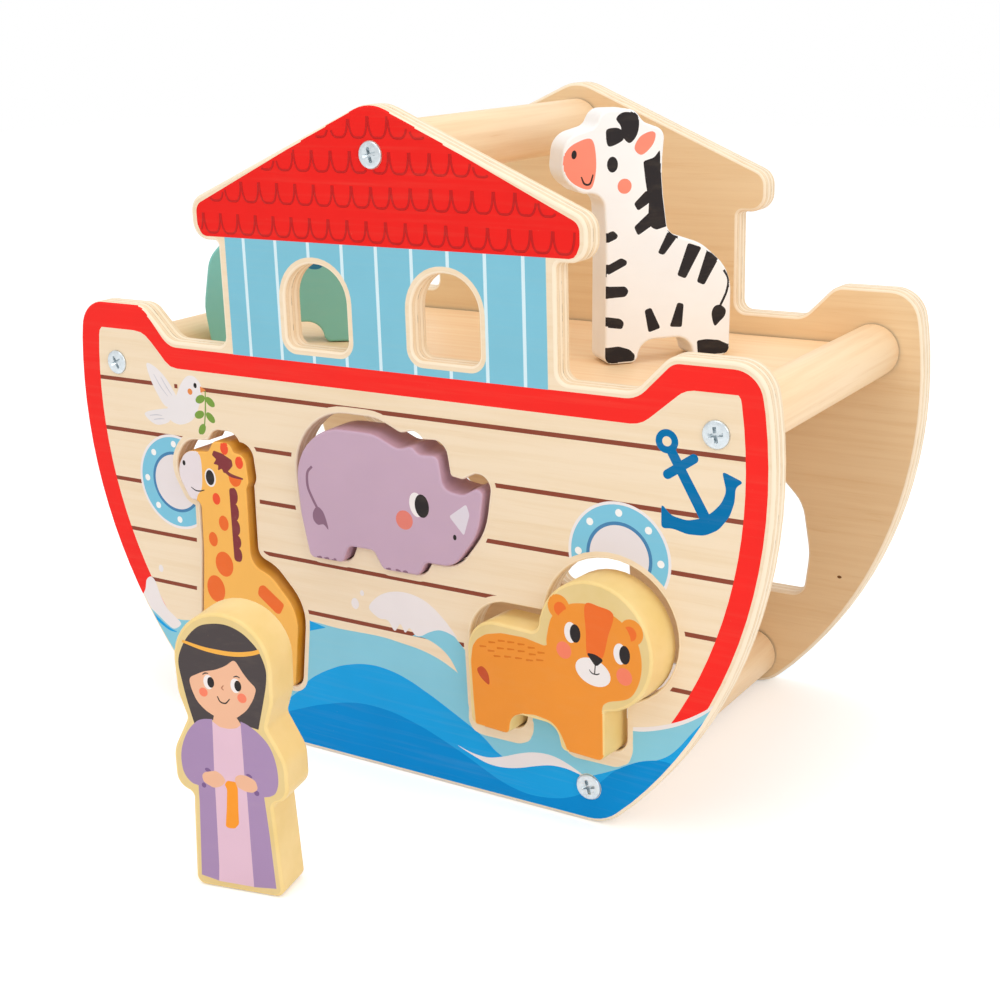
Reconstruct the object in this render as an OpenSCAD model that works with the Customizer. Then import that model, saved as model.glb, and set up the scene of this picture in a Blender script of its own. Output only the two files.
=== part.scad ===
// Wooden ark shape sorter
// Two plywood side panels, held apart by screwed dowels, carry a deck board.
// Six loose figures stand in matching holes, on the deck and in front of the ark.
// Millimetres. +Z is up, X runs along the ark and the front panel faces -Y.

/* [Side panels] */
// Thickness of each plywood side panel
panel_t = 9; // [7:0.5:12]
// Clear distance between the two panels, which is the dowels' length
panel_gap = 129; // [115:1:150]
// Half of the hull's greatest width
hull_half_w = 144.5; // [140:0.5:150]
// Height at which the hull is widest
hull_mid_z = 129; // [120:1:138]
// Radius of the round hull sides
hull_r = 171; // [160:1:185]
// Height of the sheer, the low edge amidships
sheer_z = 152.5; // [150:0.5:158]
// Rise of bow and stern above the sheer
bow_rise = 12.5; // [8:0.5:16]
// Length of the raised bow and stern
bow_l = 47.5; // [40:0.5:54]
// Width of the deck house
house_w = 139; // [126:1:150]
// Height of the eaves' underside
eave_z = 191; // [186:0.5:200]
// Width over the eaves
eave_w = 162; // [156:1:176]
// Height of each eave's end
eave_h = 14; // [13:0.5:18]
// Height of the ridge
ridge_z = 240; // [232:1:256]

/* [Panel corners] */
// Radius of the keel corners
keel_r = 17; // [8:0.5:24]
// Radius of the bow and stern's upper corners
bow_r = 12; // [8:0.5:14]
// Radius of the curves between sheer, bow and stern
sheer_r = 8; // [4:0.5:10]
// Radius in the corners of the deck house
house_r = 4; // [2:0.5:6]
// Radius of the eaves' ends
eave_r = 6.5; // [4:0.25:6.5]
// Radius of the ridge
ridge_r = 16; // [8:0.5:22]

/* [Windows] */
// Width of each window
window_w = 27; // [20:0.5:32]
// Height of each window
window_h = 30; // [24:0.5:32]
// Distance of the windows' middles from the ark's middle
window_x = 27; // [24:0.5:34]
// Height of the window sills above the sheer
window_sill = 2.5; // [0:0.5:4]
// Radius in the windows' lower corners
window_r = 4; // [2:0.5:6]

/* [Dowels and deck] */
// Diameter of the dowels
dowel_d = 20; // [16:0.5:22]
// Distance of the bow and stern dowels' axes from the hull's ends
bow_dowel_in = 19.5; // [17:0.5:24]
// Height of the bow and stern dowels' axes
bow_dowel_z = 142; // [140:0.5:146]
// Depth of the ridge dowel's axis below the ridge
ridge_drop = 17.5; // [16:0.5:22]
// Distance of the keel dowels' axes from the keel's ends
keel_dowel_in = 6.5; // [4:0.5:18]
// Height of the keel dowels' axes
keel_dowel_z = 13; // [12:0.5:13]
// Height of the deck board's top
deck_z = 144; // [143:0.5:146]
// Thickness of the deck board
deck_t = 8; // [7:0.5:9]
// Gap between the deck board's ends and the round dowels
deck_end_gap = 0.3; // [0.2:0.1:1]
// Diameter of the wooden pins that hold the deck board
pin_d = 5; // [4:0.5:6]
// Depth of the pins in the panels
pin_in_panel = 6; // [4:0.5:6.5]
// Depth of the pins in the deck board
pin_in_deck = 14; // [8:1:20]
// Distance of the pins from the middle
pin_x = 70; // [55:1:95]

/* [Screws] */
// Diameter of the screw heads
head_d = 9.2; // [8:0.1:10]
// Height of the heads above the panels
head_rise = 0.8; // [0.4:0.1:1.2]
// Diameter of the screw shanks
shank_d = 4; // [3:0.1:5]
// Length of the screws below the panels' faces
screw_l = 34; // [25:1:45]
// Length of each bar of the cross recess
cross_l = 4.8; // [3.6:0.1:5.4]
// Width of each bar of the cross recess
cross_w = 1.1; // [0.8:0.1:1.4]
// Depth of the cross recess
cross_deep = 1.5; // [1:0.1:1.8]
// Clearance around screws and pins in their holes
wood_fit = 0.1; // [0.05:0.05:0.2]

/* [Figures] */
// Thickness of the figures
figure_t = 15; // [12:0.5:18]
// Clearance round rhino, lion and elephant in their holes
wide_gap = 2.6; // [2:0.1:3]
// Clearance round giraffe, zebra and woman in their holes
tall_gap = 2; // [1.6:0.1:2.6]
// Gap under a figure that stands in a hole or on the deck
stand_gap = 0.3; // [0.2:0.1:0.5]
// Height of the giraffe
giraffe_h = 92.5; // [86:0.5:95]
// Height of the rhino
rhino_h = 49.5; // [45:0.5:51]
// Height of the lion
lion_h = 62.5; // [57:0.5:65]
// Height of the zebra
zebra_h = 89; // [82:0.5:92]
// Height of the elephant
elephant_h = 53; // [46:0.5:54]
// Height of the woman
woman_h = 94.5; // [88:0.5:98]

/* [Places of the holes] */
// Middle of the giraffe's hole from the stern end, and its sill
giraffe_hole = [72.5, 24]; // [22:0.5:75]
// Middle and sill of the rhino's hole
rhino_hole = [0.5, 78.5]; // [-2:0.5:80]
// Middle of the lion's hole from the bow end, and its sill
lion_hole = [71.5, 28.5]; // [26:0.5:75]
// Middle of the zebra's hole from the stern end, and its sill
zebra_hole = [61.5, 27]; // [25:0.5:65]
// Middle and sill of the elephant's hole
elephant_hole = [68, 41]; // [39:0.5:70]
// Middle and sill of the woman's hole
woman_hole = [5, 27]; // [2:0.5:29]

/* [Where the figures stand] */
// How far the giraffe stands out of the front panel
giraffe_out = 2; // [0:0.5:8]
// How far the rhino stands out of the front panel
rhino_out = 2.5; // [0:0.5:8]
// Turn of the rhino in its hole
rhino_turn = 2; // [-3:0.5:4]
// How far the lion stands out of the front panel
lion_out = 8.5; // [4:0.5:10]
// Turn of the lion in its hole
lion_turn = -5; // [-8:0.5:0]
// Place of the zebra on the deck, from the bow dowel and from the middle
zebra_at = [67, 7.5]; // [0:0.5:72]
// Turn of the zebra on the deck
zebra_turn = 48; // [40:1:56]
// Place of the elephant on the deck, from the stern dowel and from the middle
elephant_at = [40.5, -19]; // [-30:0.5:50]
// Turn of the elephant on the deck
elephant_turn = 31; // [24:1:38]
// Place of the woman along the ark
woman_x = 3; // [-20:0.5:20]
// Distance of the woman from the front panel
woman_away = 80; // [60:1:110]
// Turn of the woman
woman_turn = 12; // [0:1:20]

/* [Hidden] */
$fn = 48;
// Largest turn between two points of a rounded corner, in degrees
arc_step = 9;
// Least radius left in an inner corner of a widened outline
tight_r = 0.6;
// How far a cutting shape runs past the face that it cuts
past = 1;
ply = "#F0DABB";
beech = "#F6CFA0";

panel_mid_y = (panel_gap + panel_t) / 2;
front_y = -panel_gap / 2 - panel_t;
bow_z = sheer_z + bow_rise;
bow_start_x = hull_half_w - bow_l;
hull_x = hull_half_w - hull_r;
keel_angle = -asin(hull_mid_z / hull_r);
keel_end_x = hull_x + hull_r * cos(keel_angle);
bow_angle = asin((bow_z - hull_mid_z) / hull_r);
bow_dowel_x = hull_half_w - bow_dowel_in;
keel_dowel_x = keel_end_x - keel_dowel_in;
ridge_dowel_z = ridge_z - ridge_drop;
window_z = sheer_z + window_sill;
deck_half_l = bow_dowel_x - dowel_d / 2 - deck_end_gap;
pin_z = deck_z - deck_t / 2;
giraffe_place = [giraffe_hole[0] - hull_half_w, giraffe_hole[1]];
lion_place = [hull_half_w - lion_hole[0], lion_hole[1]];
zebra_place = [zebra_hole[0] - hull_half_w, zebra_hole[1]];
zebra_stand = [bow_dowel_x - zebra_at[0], zebra_at[1]];
elephant_stand = [elephant_at[0] - bow_dowel_x, elephant_at[1]];
head_sink = (head_d - shank_d) / 2;
pilot_l = screw_l - panel_t + wood_fit;
screw_places = [[0, ridge_dowel_z], [bow_dowel_x, bow_dowel_z], [-bow_dowel_x, bow_dowel_z],
    [keel_dowel_x, keel_dowel_z], [-keel_dowel_x, keel_dowel_z]];

// An outline is a list of corners [x, z, radius], taken counter-clockwise
function flat(c) = [c[0], c[1]];
function unit(v) = v / norm(v);
function turned(v, a) = [v[0] * cos(a) - v[1] * sin(a), v[0] * sin(a) + v[1] * cos(a)];
function bend(p, c, n) = cross(flat(c) - flat(p), flat(n) - flat(c));
function arc(x, z, r, from, to, steps) =
    [for (i = [0 : steps]) let (a = from + (to - from) * i / steps) [x + r * cos(a), z + r * sin(a), 0]];
function mirrored(corners) =
    [for (i = [len(corners) - 1 : -1 : 0]) [-corners[i][0], corners[i][1], corners[i][2]]];
function top_of(corners) = max([for (c = rounded(corners)) c[1]]);
function sized(corners, height) = corners * (height / top_of(corners));

// The points of one rounded corner c between its neighbours p and n
function half_angle(p, c, n) = acos(unit(flat(p) - flat(c)) * unit(flat(n) - flat(c))) / 2;
function corner_points(p, c, n, r) =
    r == 0 ? [flat(c)] :
    let (
        u = unit(flat(p) - flat(c)),
        v = unit(flat(n) - flat(c)),
        half = half_angle(p, c, n),
        middle = flat(c) + unit(u + v) * r / sin(half),
        spoke = flat(c) + u * r / tan(half) - middle,
        sweep = (180 - 2 * half) * sign(bend(p, c, n)),
        steps = max(2, ceil(abs(sweep) / arc_step))
    ) [for (i = [0 : steps]) middle + turned(spoke, sweep * i / steps)];

// Radii that would meet along an edge are made smaller in proportion
function rounded(corners) =
    let (
        n = len(corners),
        reach = [for (i = [0 : n - 1])
            corners[i][2] / tan(half_angle(corners[(i + n - 1) % n], corners[i], corners[(i + 1) % n]))],
        edge = [for (i = [0 : n - 1]) norm(flat(corners[(i + 1) % n]) - flat(corners[i]))],
        room = [for (i = [0 : n - 1]) min(1, 0.97 * edge[i] / max(reach[i] + reach[(i + 1) % n], 0.001))]
    )
    [for (i = [0 : n - 1])
        each corner_points(corners[(i + n - 1) % n], corners[i], corners[(i + 1) % n],
            corners[i][2] * min(room[i], room[(i + n - 1) % n]))];

// The same outline, moved outwards by gap on every side
function edge_normal(a, b) = let (e = unit(flat(b) - flat(a))) [e[1], -e[0]];
function widened_corner(p, c, n, gap) =
    let (
        before = edge_normal(p, c),
        after = edge_normal(c, n),
        move = (before + after) * gap / (1 + before * after),
        r = c[2] == 0 ? 0 : bend(p, c, n) > 0 ? c[2] + gap : max(c[2] - gap, tight_r)
    ) [c[0] + move[0], c[1] + move[1], r];
function widened(corners, gap) =
    let (n = len(corners))
    [for (i = [0 : n - 1]) widened_corner(corners[(i + n - 1) % n], corners[i], corners[(i + 1) % n], gap)];

// Side panel: round hull, raised bow and stern, deck house with a pitched roof
panel_half = concat(
    [[keel_end_x, 0, keel_r]],
    arc(hull_x, hull_mid_z, hull_r, keel_angle + 5, bow_angle - 5, 18),
    [
        [hull_x + hull_r * cos(bow_angle), bow_z, bow_r],
        [bow_start_x + bow_rise, bow_z, sheer_r],
        [bow_start_x, sheer_z, sheer_r],
        [house_w / 2, sheer_z, house_r],
        [house_w / 2, eave_z, house_r / 2],
        [eave_w / 2, eave_z, eave_r],
        [eave_w / 2, eave_z + eave_h, eave_r]
    ]);
panel_corners = concat(panel_half, [[0, ridge_z, ridge_r]], mirrored(panel_half));
window_corners = [[-window_w / 2, 0, window_r], [window_w / 2, 0, window_r],
    [window_w / 2, window_h, window_w / 2 - 0.1], [-window_w / 2, window_h, window_w / 2 - 0.1]];

// Figures, each drawn standing on z = 0 around its middle and then brought to its height
giraffe_corners = sized([
    [-20.8, 0, 2.5], [-8.5, 0, 2.5], [-7.5, 10, 5], [9.5, 10, 5], [10.5, 0, 2.5], [26.5, 0, 3],
    [30.4, 31, 16], [18, 44, 14], [8.6, 47, 7], [9, 77, 2],
    [10.4, 79.5, 3], [9.4, 90, 3.8], [4, 90.6, 1], [2.2, 94, 3.6], [-6, 94, 3.6],
    [-9, 89.4, 1.5], [-20.4, 88.6, 7.5], [-26.2, 80, 8.5], [-20, 69, 6.5], [-14.6, 69, 4.5], [-15.4, 48, 40]
], giraffe_h);
rhino_corners = sized([
    [-33.4, 0, 2.5], [-19.2, 0, 2.5], [-16.4, 6.4, 2.5], [-6, 6.4, 2.5], [-2.4, 0, 2.5], [12.4, 0, 2.5],
    [15.4, 5, 2], [26.5, 5, 9], [36.6, 18, 22], [39.4, 35.6, 2.2], [31, 31, 5], [23.6, 32, 4],
    [21.8, 43.4, 2.6], [14.4, 43, 3], [11.4, 45.6, 2], [6, 44, 6], [-4, 48.4, 16],
    [-24, 48.4, 22], [-37.6, 37, 22], [-36.4, 16, 30]
], rhino_h);
lion_corners = let (mane = [14.4, 39.4], mane_r = 22, leg_x = 18) sized(concat(
    [[-36.4, 0, 3], [-20.4, 0, 2.5], [-19.2, 8.4, 5.5], [-0.6, 8.4, 5.5], [1.2, 0, 2.5], [leg_x, 0, 3]],
    [[leg_x, mane[1] - mane_r * cos(asin((leg_x - mane[0]) / mane_r)), 1.5]],
    arc(mane[0], mane[1], mane_r, -66, 165, 25),
    [[mane[0] - mane_r, 39.6, 3.5], [-37.4, 39.6, 12.5]]
), lion_h);
zebra_corners = sized([
    [-17, 0, 3], [-4.6, 0, 3], [-3.4, 8, 6.5], [15.5, 8, 6.5], [17.4, 0, 3], [31.4, 0, 3],
    [31.8, 31, 17], [20, 41.6, 16], [7.2, 46, 5], [4.6, 66, 60],
    [6, 81.8, 4], [-2, 84.8, 5], [-5.2, 89.4, 5.5], [-16.8, 89.6, 5],
    [-19.8, 83.8, 4], [-31, 80.8, 7.5], [-32.6, 67, 8], [-25, 61.2, 6], [-16.8, 61.2, 5.5], [-16.2, 45, 40]
], zebra_h);
elephant_corners = sized([
    [-29.8, 0, 3], [-13, 0, 3], [-12, 8, 7], [13.6, 8, 7], [15, 0, 3], [26.6, 0, 3],
    [27, 7, 2], [31.4, 7, 3], [31.6, 34, 14], [25, 53, 15], [7, 53, 13],
    [0, 46, 12], [-17, 45.6, 16], [-28.4, 34, 13], [-31.6, 15, 24]
], elephant_h);
woman_half = [[15.8, 0, 3], [14.4, 27, 30], [14, 32.6, 3], [19.8, 34.6, 7], [19.8, 47, 11],
    [13.8, 58.4, 3], [16.6, 67, 9]];
woman_corners = sized(concat(
    woman_half,
    arc(0, 77.7, 16.9, 0, 180, 20),
    mirrored(woman_half)
), woman_h);

// Where the whole set's box has its middle, so that the origin lies below it
woman_y = front_y - woman_away - figure_t / 2;
woman_reach = max([for (c = rounded(woman_corners)) -turned([c[0], -figure_t / 2], woman_turn)[1]]);
set_mid_y = (woman_y - woman_reach - front_y + head_rise) / 2;

module upright(corners, thickness)
    rotate([90, 0, 0])
        translate([0, 0, -thickness / 2])
            linear_extrude(thickness)
                polygon(rounded(corners));

module set_place() translate([0, -set_mid_y, 0]) children();

// Axis along Y; side is -1 at the front panel and 1 at the back panel
module along_y(x, z, side, y)
    translate([x, side * y, z])
        rotate([-90 * side, 0, 0])
            children();

module window_holes()
    for (x = [-window_x, window_x])
        translate([x, 0, window_z])
            upright(window_corners, panel_t + 2 * past);

module figure_hole(corners, place, gap)
    translate([place[0], 0, place[1] + gap])
        upright(widened(corners, gap), panel_t + 2 * past);

module screw_hole()
    translate([0, 0, -panel_t - past]) {
        cylinder(d = shank_d + 2 * wood_fit, h = panel_t + 2 * past);
        translate([0, 0, panel_t + past - head_sink])
            cylinder(d1 = shank_d + 2 * wood_fit, d2 = head_d + 2 * wood_fit, h = head_sink);
        translate([0, 0, panel_t + past])
            cylinder(d = head_d + 2 * wood_fit, h = past);
    }

module side_panel(side)
    set_place()
        difference() {
            translate([0, side * panel_mid_y, 0])
                difference() {
                    upright(panel_corners, panel_t);
                    window_holes();
                    children();
                }
            for (p = screw_places)
                along_y(p[0], p[1], side, panel_gap / 2 + panel_t)
                    screw_hole();
            for (x = [-pin_x, pin_x])
                along_y(x, pin_z, side, panel_gap / 2 - past)
                    cylinder(d = pin_d + 2 * wood_fit, h = pin_in_panel + wood_fit + past);
        }

module front_panel()
    color(ply)
        side_panel(-1) {
            figure_hole(giraffe_corners, giraffe_place, tall_gap);
            figure_hole(rhino_corners, rhino_hole, wide_gap);
            figure_hole(lion_corners, lion_place, wide_gap);
        }

module back_panel()
    color(ply)
        side_panel(1) {
            figure_hole(zebra_corners, zebra_place, tall_gap);
            figure_hole(mirrored(elephant_corners), elephant_hole, wide_gap);
            figure_hole(woman_corners, woman_hole, tall_gap);
        }

module deck_board()
    color("#FDD3A2")
        set_place()
            difference() {
                translate([-deck_half_l, -panel_gap / 2, deck_z - deck_t])
                    cube([2 * deck_half_l, panel_gap, deck_t]);
                for (side = [-1, 1], x = [-pin_x, pin_x])
                    along_y(x, pin_z, side, panel_gap / 2 - pin_in_deck - wood_fit)
                        cylinder(d = pin_d + 2 * wood_fit, h = pin_in_deck + wood_fit + past);
            }

module deck_pins()
    color(beech)
        set_place()
            for (side = [-1, 1], x = [-pin_x, pin_x])
                along_y(x, pin_z, side, panel_gap / 2 - pin_in_deck)
                    cylinder(d = pin_d, h = pin_in_deck + pin_in_panel);

module dowel(x, z)
    color(beech)
        set_place()
            difference() {
                along_y(x, z, 1, -panel_gap / 2)
                    cylinder(d = dowel_d, h = panel_gap);
                for (side = [-1, 1])
                    along_y(x, z, side, panel_gap / 2 - pilot_l)
                        cylinder(d = shank_d + 2 * wood_fit, h = pilot_l + past);
            }

module ridge_dowel() dowel(0, ridge_dowel_z);
module bow_dowel() dowel(bow_dowel_x, bow_dowel_z);
module stern_dowel() dowel(-bow_dowel_x, bow_dowel_z);
module keel_bow_dowel() dowel(keel_dowel_x, keel_dowel_z);
module keel_stern_dowel() dowel(-keel_dowel_x, keel_dowel_z);

// Countersunk screw with a raised rim, its panel face at z = 0
module screw()
    difference() {
        rotate_extrude()
            polygon([[0, -screw_l], [shank_d / 2, -screw_l + shank_d], [shank_d / 2, -head_sink],
                [head_d / 2, 0], [head_d / 2, head_rise / 2], [(head_d - head_rise) / 2, head_rise],
                [0, head_rise]]);
        for (a = [0, 90])
            rotate([0, 0, a])
                translate([-cross_l / 2, -cross_w / 2, head_rise - cross_deep])
                    cube([cross_l, cross_w, cross_deep + past]);
    }

module screws(side)
    color("#AEC3CC")
        set_place()
            for (p = screw_places)
                along_y(p[0], p[1], side, panel_gap / 2 + panel_t)
                    screw();

module front_screws() screws(-1);
module back_screws() screws(1);

// A figure standing in its hole in the front panel
module in_hole(corners, place, out, turn)
    set_place()
        translate([place[0], front_y - out + figure_t / 2, place[1] + stand_gap])
            rotate([0, 0, turn])
                upright(corners, figure_t);

module on_deck(corners, place, turn)
    set_place()
        translate([place[0], place[1], deck_z + stand_gap])
            rotate([0, 0, turn])
                upright(corners, figure_t);

module giraffe() color("#F8B85A") in_hole(giraffe_corners, giraffe_place, giraffe_out, 0);
module rhino() color("#C6A6B8") in_hole(rhino_corners, rhino_hole, rhino_out, rhino_turn);
module lion() color("#EE9334") in_hole(lion_corners, lion_place, lion_out, lion_turn);
module zebra() color("#EBE3DF") on_deck(zebra_corners, zebra_stand, zebra_turn);
module elephant() color("#79B3A2") on_deck(elephant_corners, elephant_stand, elephant_turn);
module woman()
    color("#E6C2D4")
        set_place()
            translate([woman_x, woman_y, 0])
                rotate([0, 0, woman_turn])
                    upright(woman_corners, figure_t);

front_panel();
back_panel();
deck_board();
deck_pins();
ridge_dowel();
bow_dowel();
stern_dowel();
keel_bow_dowel();
keel_stern_dowel();
front_screws();
back_screws();
giraffe();
rhino();
lion();
zebra();
elephant();
woman();
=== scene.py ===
# %% [markdown]
# # A wooden toy ark with its figures
# Two plywood sides with a printed picture are screwed to five round dowels, and a deck lies between
# them. Six thick wooden figures stand in their holes, on the deck and in front of the ark.
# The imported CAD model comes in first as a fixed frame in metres, and each piece below is built
# from what that frame measures.

import math
from contextlib import contextmanager
from functools import partial

import bmesh
import bpy
import numpy as np
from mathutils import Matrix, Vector
from mathutils.geometry import delaunay_2d_cdt


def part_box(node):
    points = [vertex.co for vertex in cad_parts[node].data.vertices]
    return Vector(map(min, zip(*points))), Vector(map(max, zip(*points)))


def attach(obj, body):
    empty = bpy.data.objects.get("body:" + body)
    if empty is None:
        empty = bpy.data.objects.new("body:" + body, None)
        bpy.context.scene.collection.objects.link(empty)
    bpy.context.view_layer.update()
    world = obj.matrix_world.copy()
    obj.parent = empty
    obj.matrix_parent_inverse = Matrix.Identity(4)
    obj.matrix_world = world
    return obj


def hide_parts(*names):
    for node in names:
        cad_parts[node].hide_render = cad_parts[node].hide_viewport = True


MM = 0.001
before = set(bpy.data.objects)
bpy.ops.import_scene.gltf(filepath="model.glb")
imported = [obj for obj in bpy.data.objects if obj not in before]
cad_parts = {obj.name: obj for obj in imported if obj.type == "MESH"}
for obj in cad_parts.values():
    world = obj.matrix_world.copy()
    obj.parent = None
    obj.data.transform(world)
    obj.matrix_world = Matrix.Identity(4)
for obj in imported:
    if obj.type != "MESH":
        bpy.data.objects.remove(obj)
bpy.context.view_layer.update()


# %% [markdown]
# ## The camera
# The picture was taken from the right and a little above, with the camera turned slightly about its
# own axis. A fixed place, three angles and a 58 mm lens on a 36 mm sensor give the same frame.

# %% Camera
SENSOR, LENS = 36, 58.385
CAMERA_PLACE = (0.32489, -0.460843, 0.26735)
CAMERA_TURN = (73.136, 1.554, 32.048)


def linked(name, data):
    """A new object in the scene."""
    made = bpy.data.objects.new(name, data)
    bpy.context.collection.objects.link(made)
    return made


camera_data = bpy.data.cameras.new("camera")
camera_data.sensor_width = SENSOR
camera_data.lens = LENS
camera = linked("camera", camera_data)
camera.location = CAMERA_PLACE
camera.rotation_euler = [math.radians(angle) for angle in CAMERA_TURN]
bpy.context.scene.camera = camera
bpy.context.scene.view_settings.view_transform = "Standard"
print("camera", list(camera.location))

# %% [markdown]
# ## Building node trees
# Both shader trees and Geometry Nodes trees are made of nodes that are joined by links. One short
# helper adds a node, sets its options, and either links a socket or gives it a value.


# %% Node helpers
def add(tree, kind, inputs=None, **settings):
    node = tree.nodes.new(kind)
    for name, value in settings.items():
        setattr(node, name, value)
    for socket, value in (inputs or {}).items():
        if isinstance(value, bpy.types.NodeSocket):
            tree.links.new(value, node.inputs[socket])
        else:
            node.inputs[socket].default_value = value
    return node


def maths(tree, operation, *values):
    return add(tree, "ShaderNodeMath", dict(enumerate(values)), operation=operation).outputs[0]


def new_group(name, kind, inputs, outputs):
    """A node group with named sockets, its input's sockets by name and its output node."""
    group = bpy.data.node_groups.new(name, kind)
    for label, socket, value in inputs:
        made = group.interface.new_socket(label, in_out="INPUT", socket_type=socket)
        if value is not None:
            made.default_value = value
    for label, socket in outputs:
        group.interface.new_socket(label, in_out="OUTPUT", socket_type=socket)
    return group, group.nodes.new("NodeGroupInput").outputs, group.nodes.new("NodeGroupOutput")


def new_material(name, values):
    """A material, its tree and its shader, whose plain values are given by socket name."""
    material = bpy.data.materials.new(name)
    material.use_nodes = True
    shader = material.node_tree.nodes["Principled BSDF"]
    for label, value in values.items():
        shader.inputs[label].default_value = value
    return material, material.node_tree, shader


def linear(code):
    """A colour written as in a paint list, as the linear numbers that shaders use."""
    parts = [int(code[i:i + 2], 16) / 255 for i in (1, 3, 5)]
    return [p / 12.92 if p <= 0.04045 else ((p + 0.055) / 1.055) ** 2.4 for p in parts] + [1]


# %% [markdown]
# ## The studio
# The real picture has a white ground and even light. The floor and the sky look white to the camera
# and in reflections, while the light that falls on the toy stays at a plain level.

# %% Floor and sky
WHITE = (1, 1, 1, 1)
FLOOR_REACH, FLOOR_DROP, FLOOR_GREY = 3, 0.0003, 0.93
FLOOR_LIFT, SKY_LIGHT = 0.3, 0.78


def seen_directly(tree):
    """1 for what the camera, a reflection or glass shows, and 0 for the light that falls on the toy."""
    path = tree.nodes.new("ShaderNodeLightPath").outputs
    seen = maths(tree, "MAXIMUM", path["Is Camera Ray"], path["Is Glossy Ray"])
    return maths(tree, "MAXIMUM", seen, path["Is Transmission Ray"])


floor_paint, tree, shader = new_material("white_floor", {
    "Base Color": (FLOOR_GREY, FLOOR_GREY, FLOOR_GREY, 1), "Roughness": 0.9, "Specular IOR Level": 0,
    "Emission Color": WHITE})
tree.links.new(maths(tree, "MULTIPLY", seen_directly(tree), FLOOR_LIFT), shader.inputs["Emission Strength"])
floor_mesh = bpy.data.meshes.new("floor")
floor_mesh.from_pydata(
    [(x * FLOOR_REACH, y * FLOOR_REACH, -FLOOR_DROP) for x, y in ((-1, -1), (1, -1), (1, 1), (-1, 1))],
    [], [(0, 1, 2, 3)])
floor_mesh.materials.append(floor_paint)
floor = linked("floor", floor_mesh)

sky = bpy.data.worlds.new("white_sky")
sky.use_nodes = True
sky_light = sky.node_tree.nodes["Background"]
sky_light.inputs["Color"].default_value = WHITE
shown = maths(sky.node_tree, "MAXIMUM", seen_directly(sky.node_tree), SKY_LIGHT)
sky.node_tree.links.new(shown, sky_light.inputs["Strength"])
bpy.context.scene.world = sky
print("floor and sky:", floor.name, sky.name)

# %% Lamps
LAMPS = {  # place, aim and size in metres, and power in watts
    "key_lamp": ((-0.25, -1.15, 1.15), (0, 0, 0.1), 0.9, 1.6),
    "side_lamp": ((1.25, -0.55, 0.85), (0, 0, 0.12), 0.8, 4.6),
    "top_lamp": ((0, -0.1, 1.5), (0, 0.03, 0.14), 1.2, 5.5),
}
for name, (place, aim, size, power) in LAMPS.items():
    lamp = bpy.data.lights.new(name, "AREA")
    lamp.shape = "DISK"
    lamp.size, lamp.energy = size, power
    holder = linked(name, lamp)
    holder.location = place
    holder.rotation_euler = (Vector(place) - Vector(aim)).to_track_quat("Z", "Y").to_euler()
print("lamps:", list(LAMPS))

# %% [markdown]
# ## Wood, print and paint
# Four effects are shared, so each is a group with its own inputs. Grain is noise that is drawn out
# along the fibres. Plywood's edge shows its layers, which follow the depth in the panel. Printed ink
# is thin, so the grain still breathes through it, and brushed paint has a faint skin.

# %% Texture helpers
COLOUR, VALUE, VECTOR = "NodeSocketColor", "NodeSocketFloat", "NodeSocketVector"
SHADER = "ShaderNodeTree"
SKIN = [("Color", COLOUR), ("Roughness", VALUE), ("Height", VALUE)]


def noise(tree, where, scale, detail=3.0, roughness=0.55):
    values = {"Vector": where, "Scale": scale, "Detail": detail, "Roughness": roughness}
    return add(tree, "ShaderNodeTexNoise", values).outputs["Fac"]


def spread(tree, *values):
    """A value, the range it comes from, and the range it is spread over."""
    return add(tree, "ShaderNodeMapRange", dict(enumerate(values)), clamp=True).outputs[0]


def mixed(tree, share, first, second):
    return add(tree, "ShaderNodeMix", {0: share, 6: first, 7: second}, data_type="RGBA").outputs[2]


def tinted(tree, colour, **changes):
    return add(tree, "ShaderNodeHueSaturation", {**changes, "Color": colour}).outputs[0]


def object_place(tree):
    return tree.nodes.new("ShaderNodeTexCoord").outputs["Object"]


def stretched(tree, where, stretch):
    return add(tree, "ShaderNodeVectorMath", {0: where, 1: stretch}, operation="MULTIPLY").outputs[0]


def finish_group(tree, output, **results):
    for name, socket in results.items():
        tree.links.new(socket, output.inputs[name])


# %% Wood grain
WOOD_STRETCH = (18, 500, 500)
grain, given, out = new_group(
    "wood_grain", SHADER,
    [("Light", COLOUR, linear("#F3DEC0")), ("Dark", COLOUR, linear("#E2BE8F")),
     ("Stretch", VECTOR, WOOD_STRETCH)], SKIN)
ramp = partial(spread, grain)
threads = partial(noise, grain, stretched(grain, object_place(grain), given["Stretch"]))
broad, fibres, pores = threads(0.16, 2.0), threads(1.0, 6.0, 0.62), threads(3.4, 2.0)
streaks = maths(grain, "MULTIPLY", ramp(fibres, 0.42, 0.74, 0, 0.62), ramp(broad, 0.3, 0.7, 0.45, 1))
flecks = ramp(pores, 0.64, 0.78, 0, 0.3)
finish_group(
    grain, out,
    Color=mixed(grain, maths(grain, "ADD", streaks, flecks), given["Light"], given["Dark"]),
    Roughness=ramp(fibres, 0.3, 0.7, 0.4, 0.54),
    Height=maths(grain, "SUBTRACT", fibres, flecks))
print(grain.name, "has", len(grain.nodes), "nodes")

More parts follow.
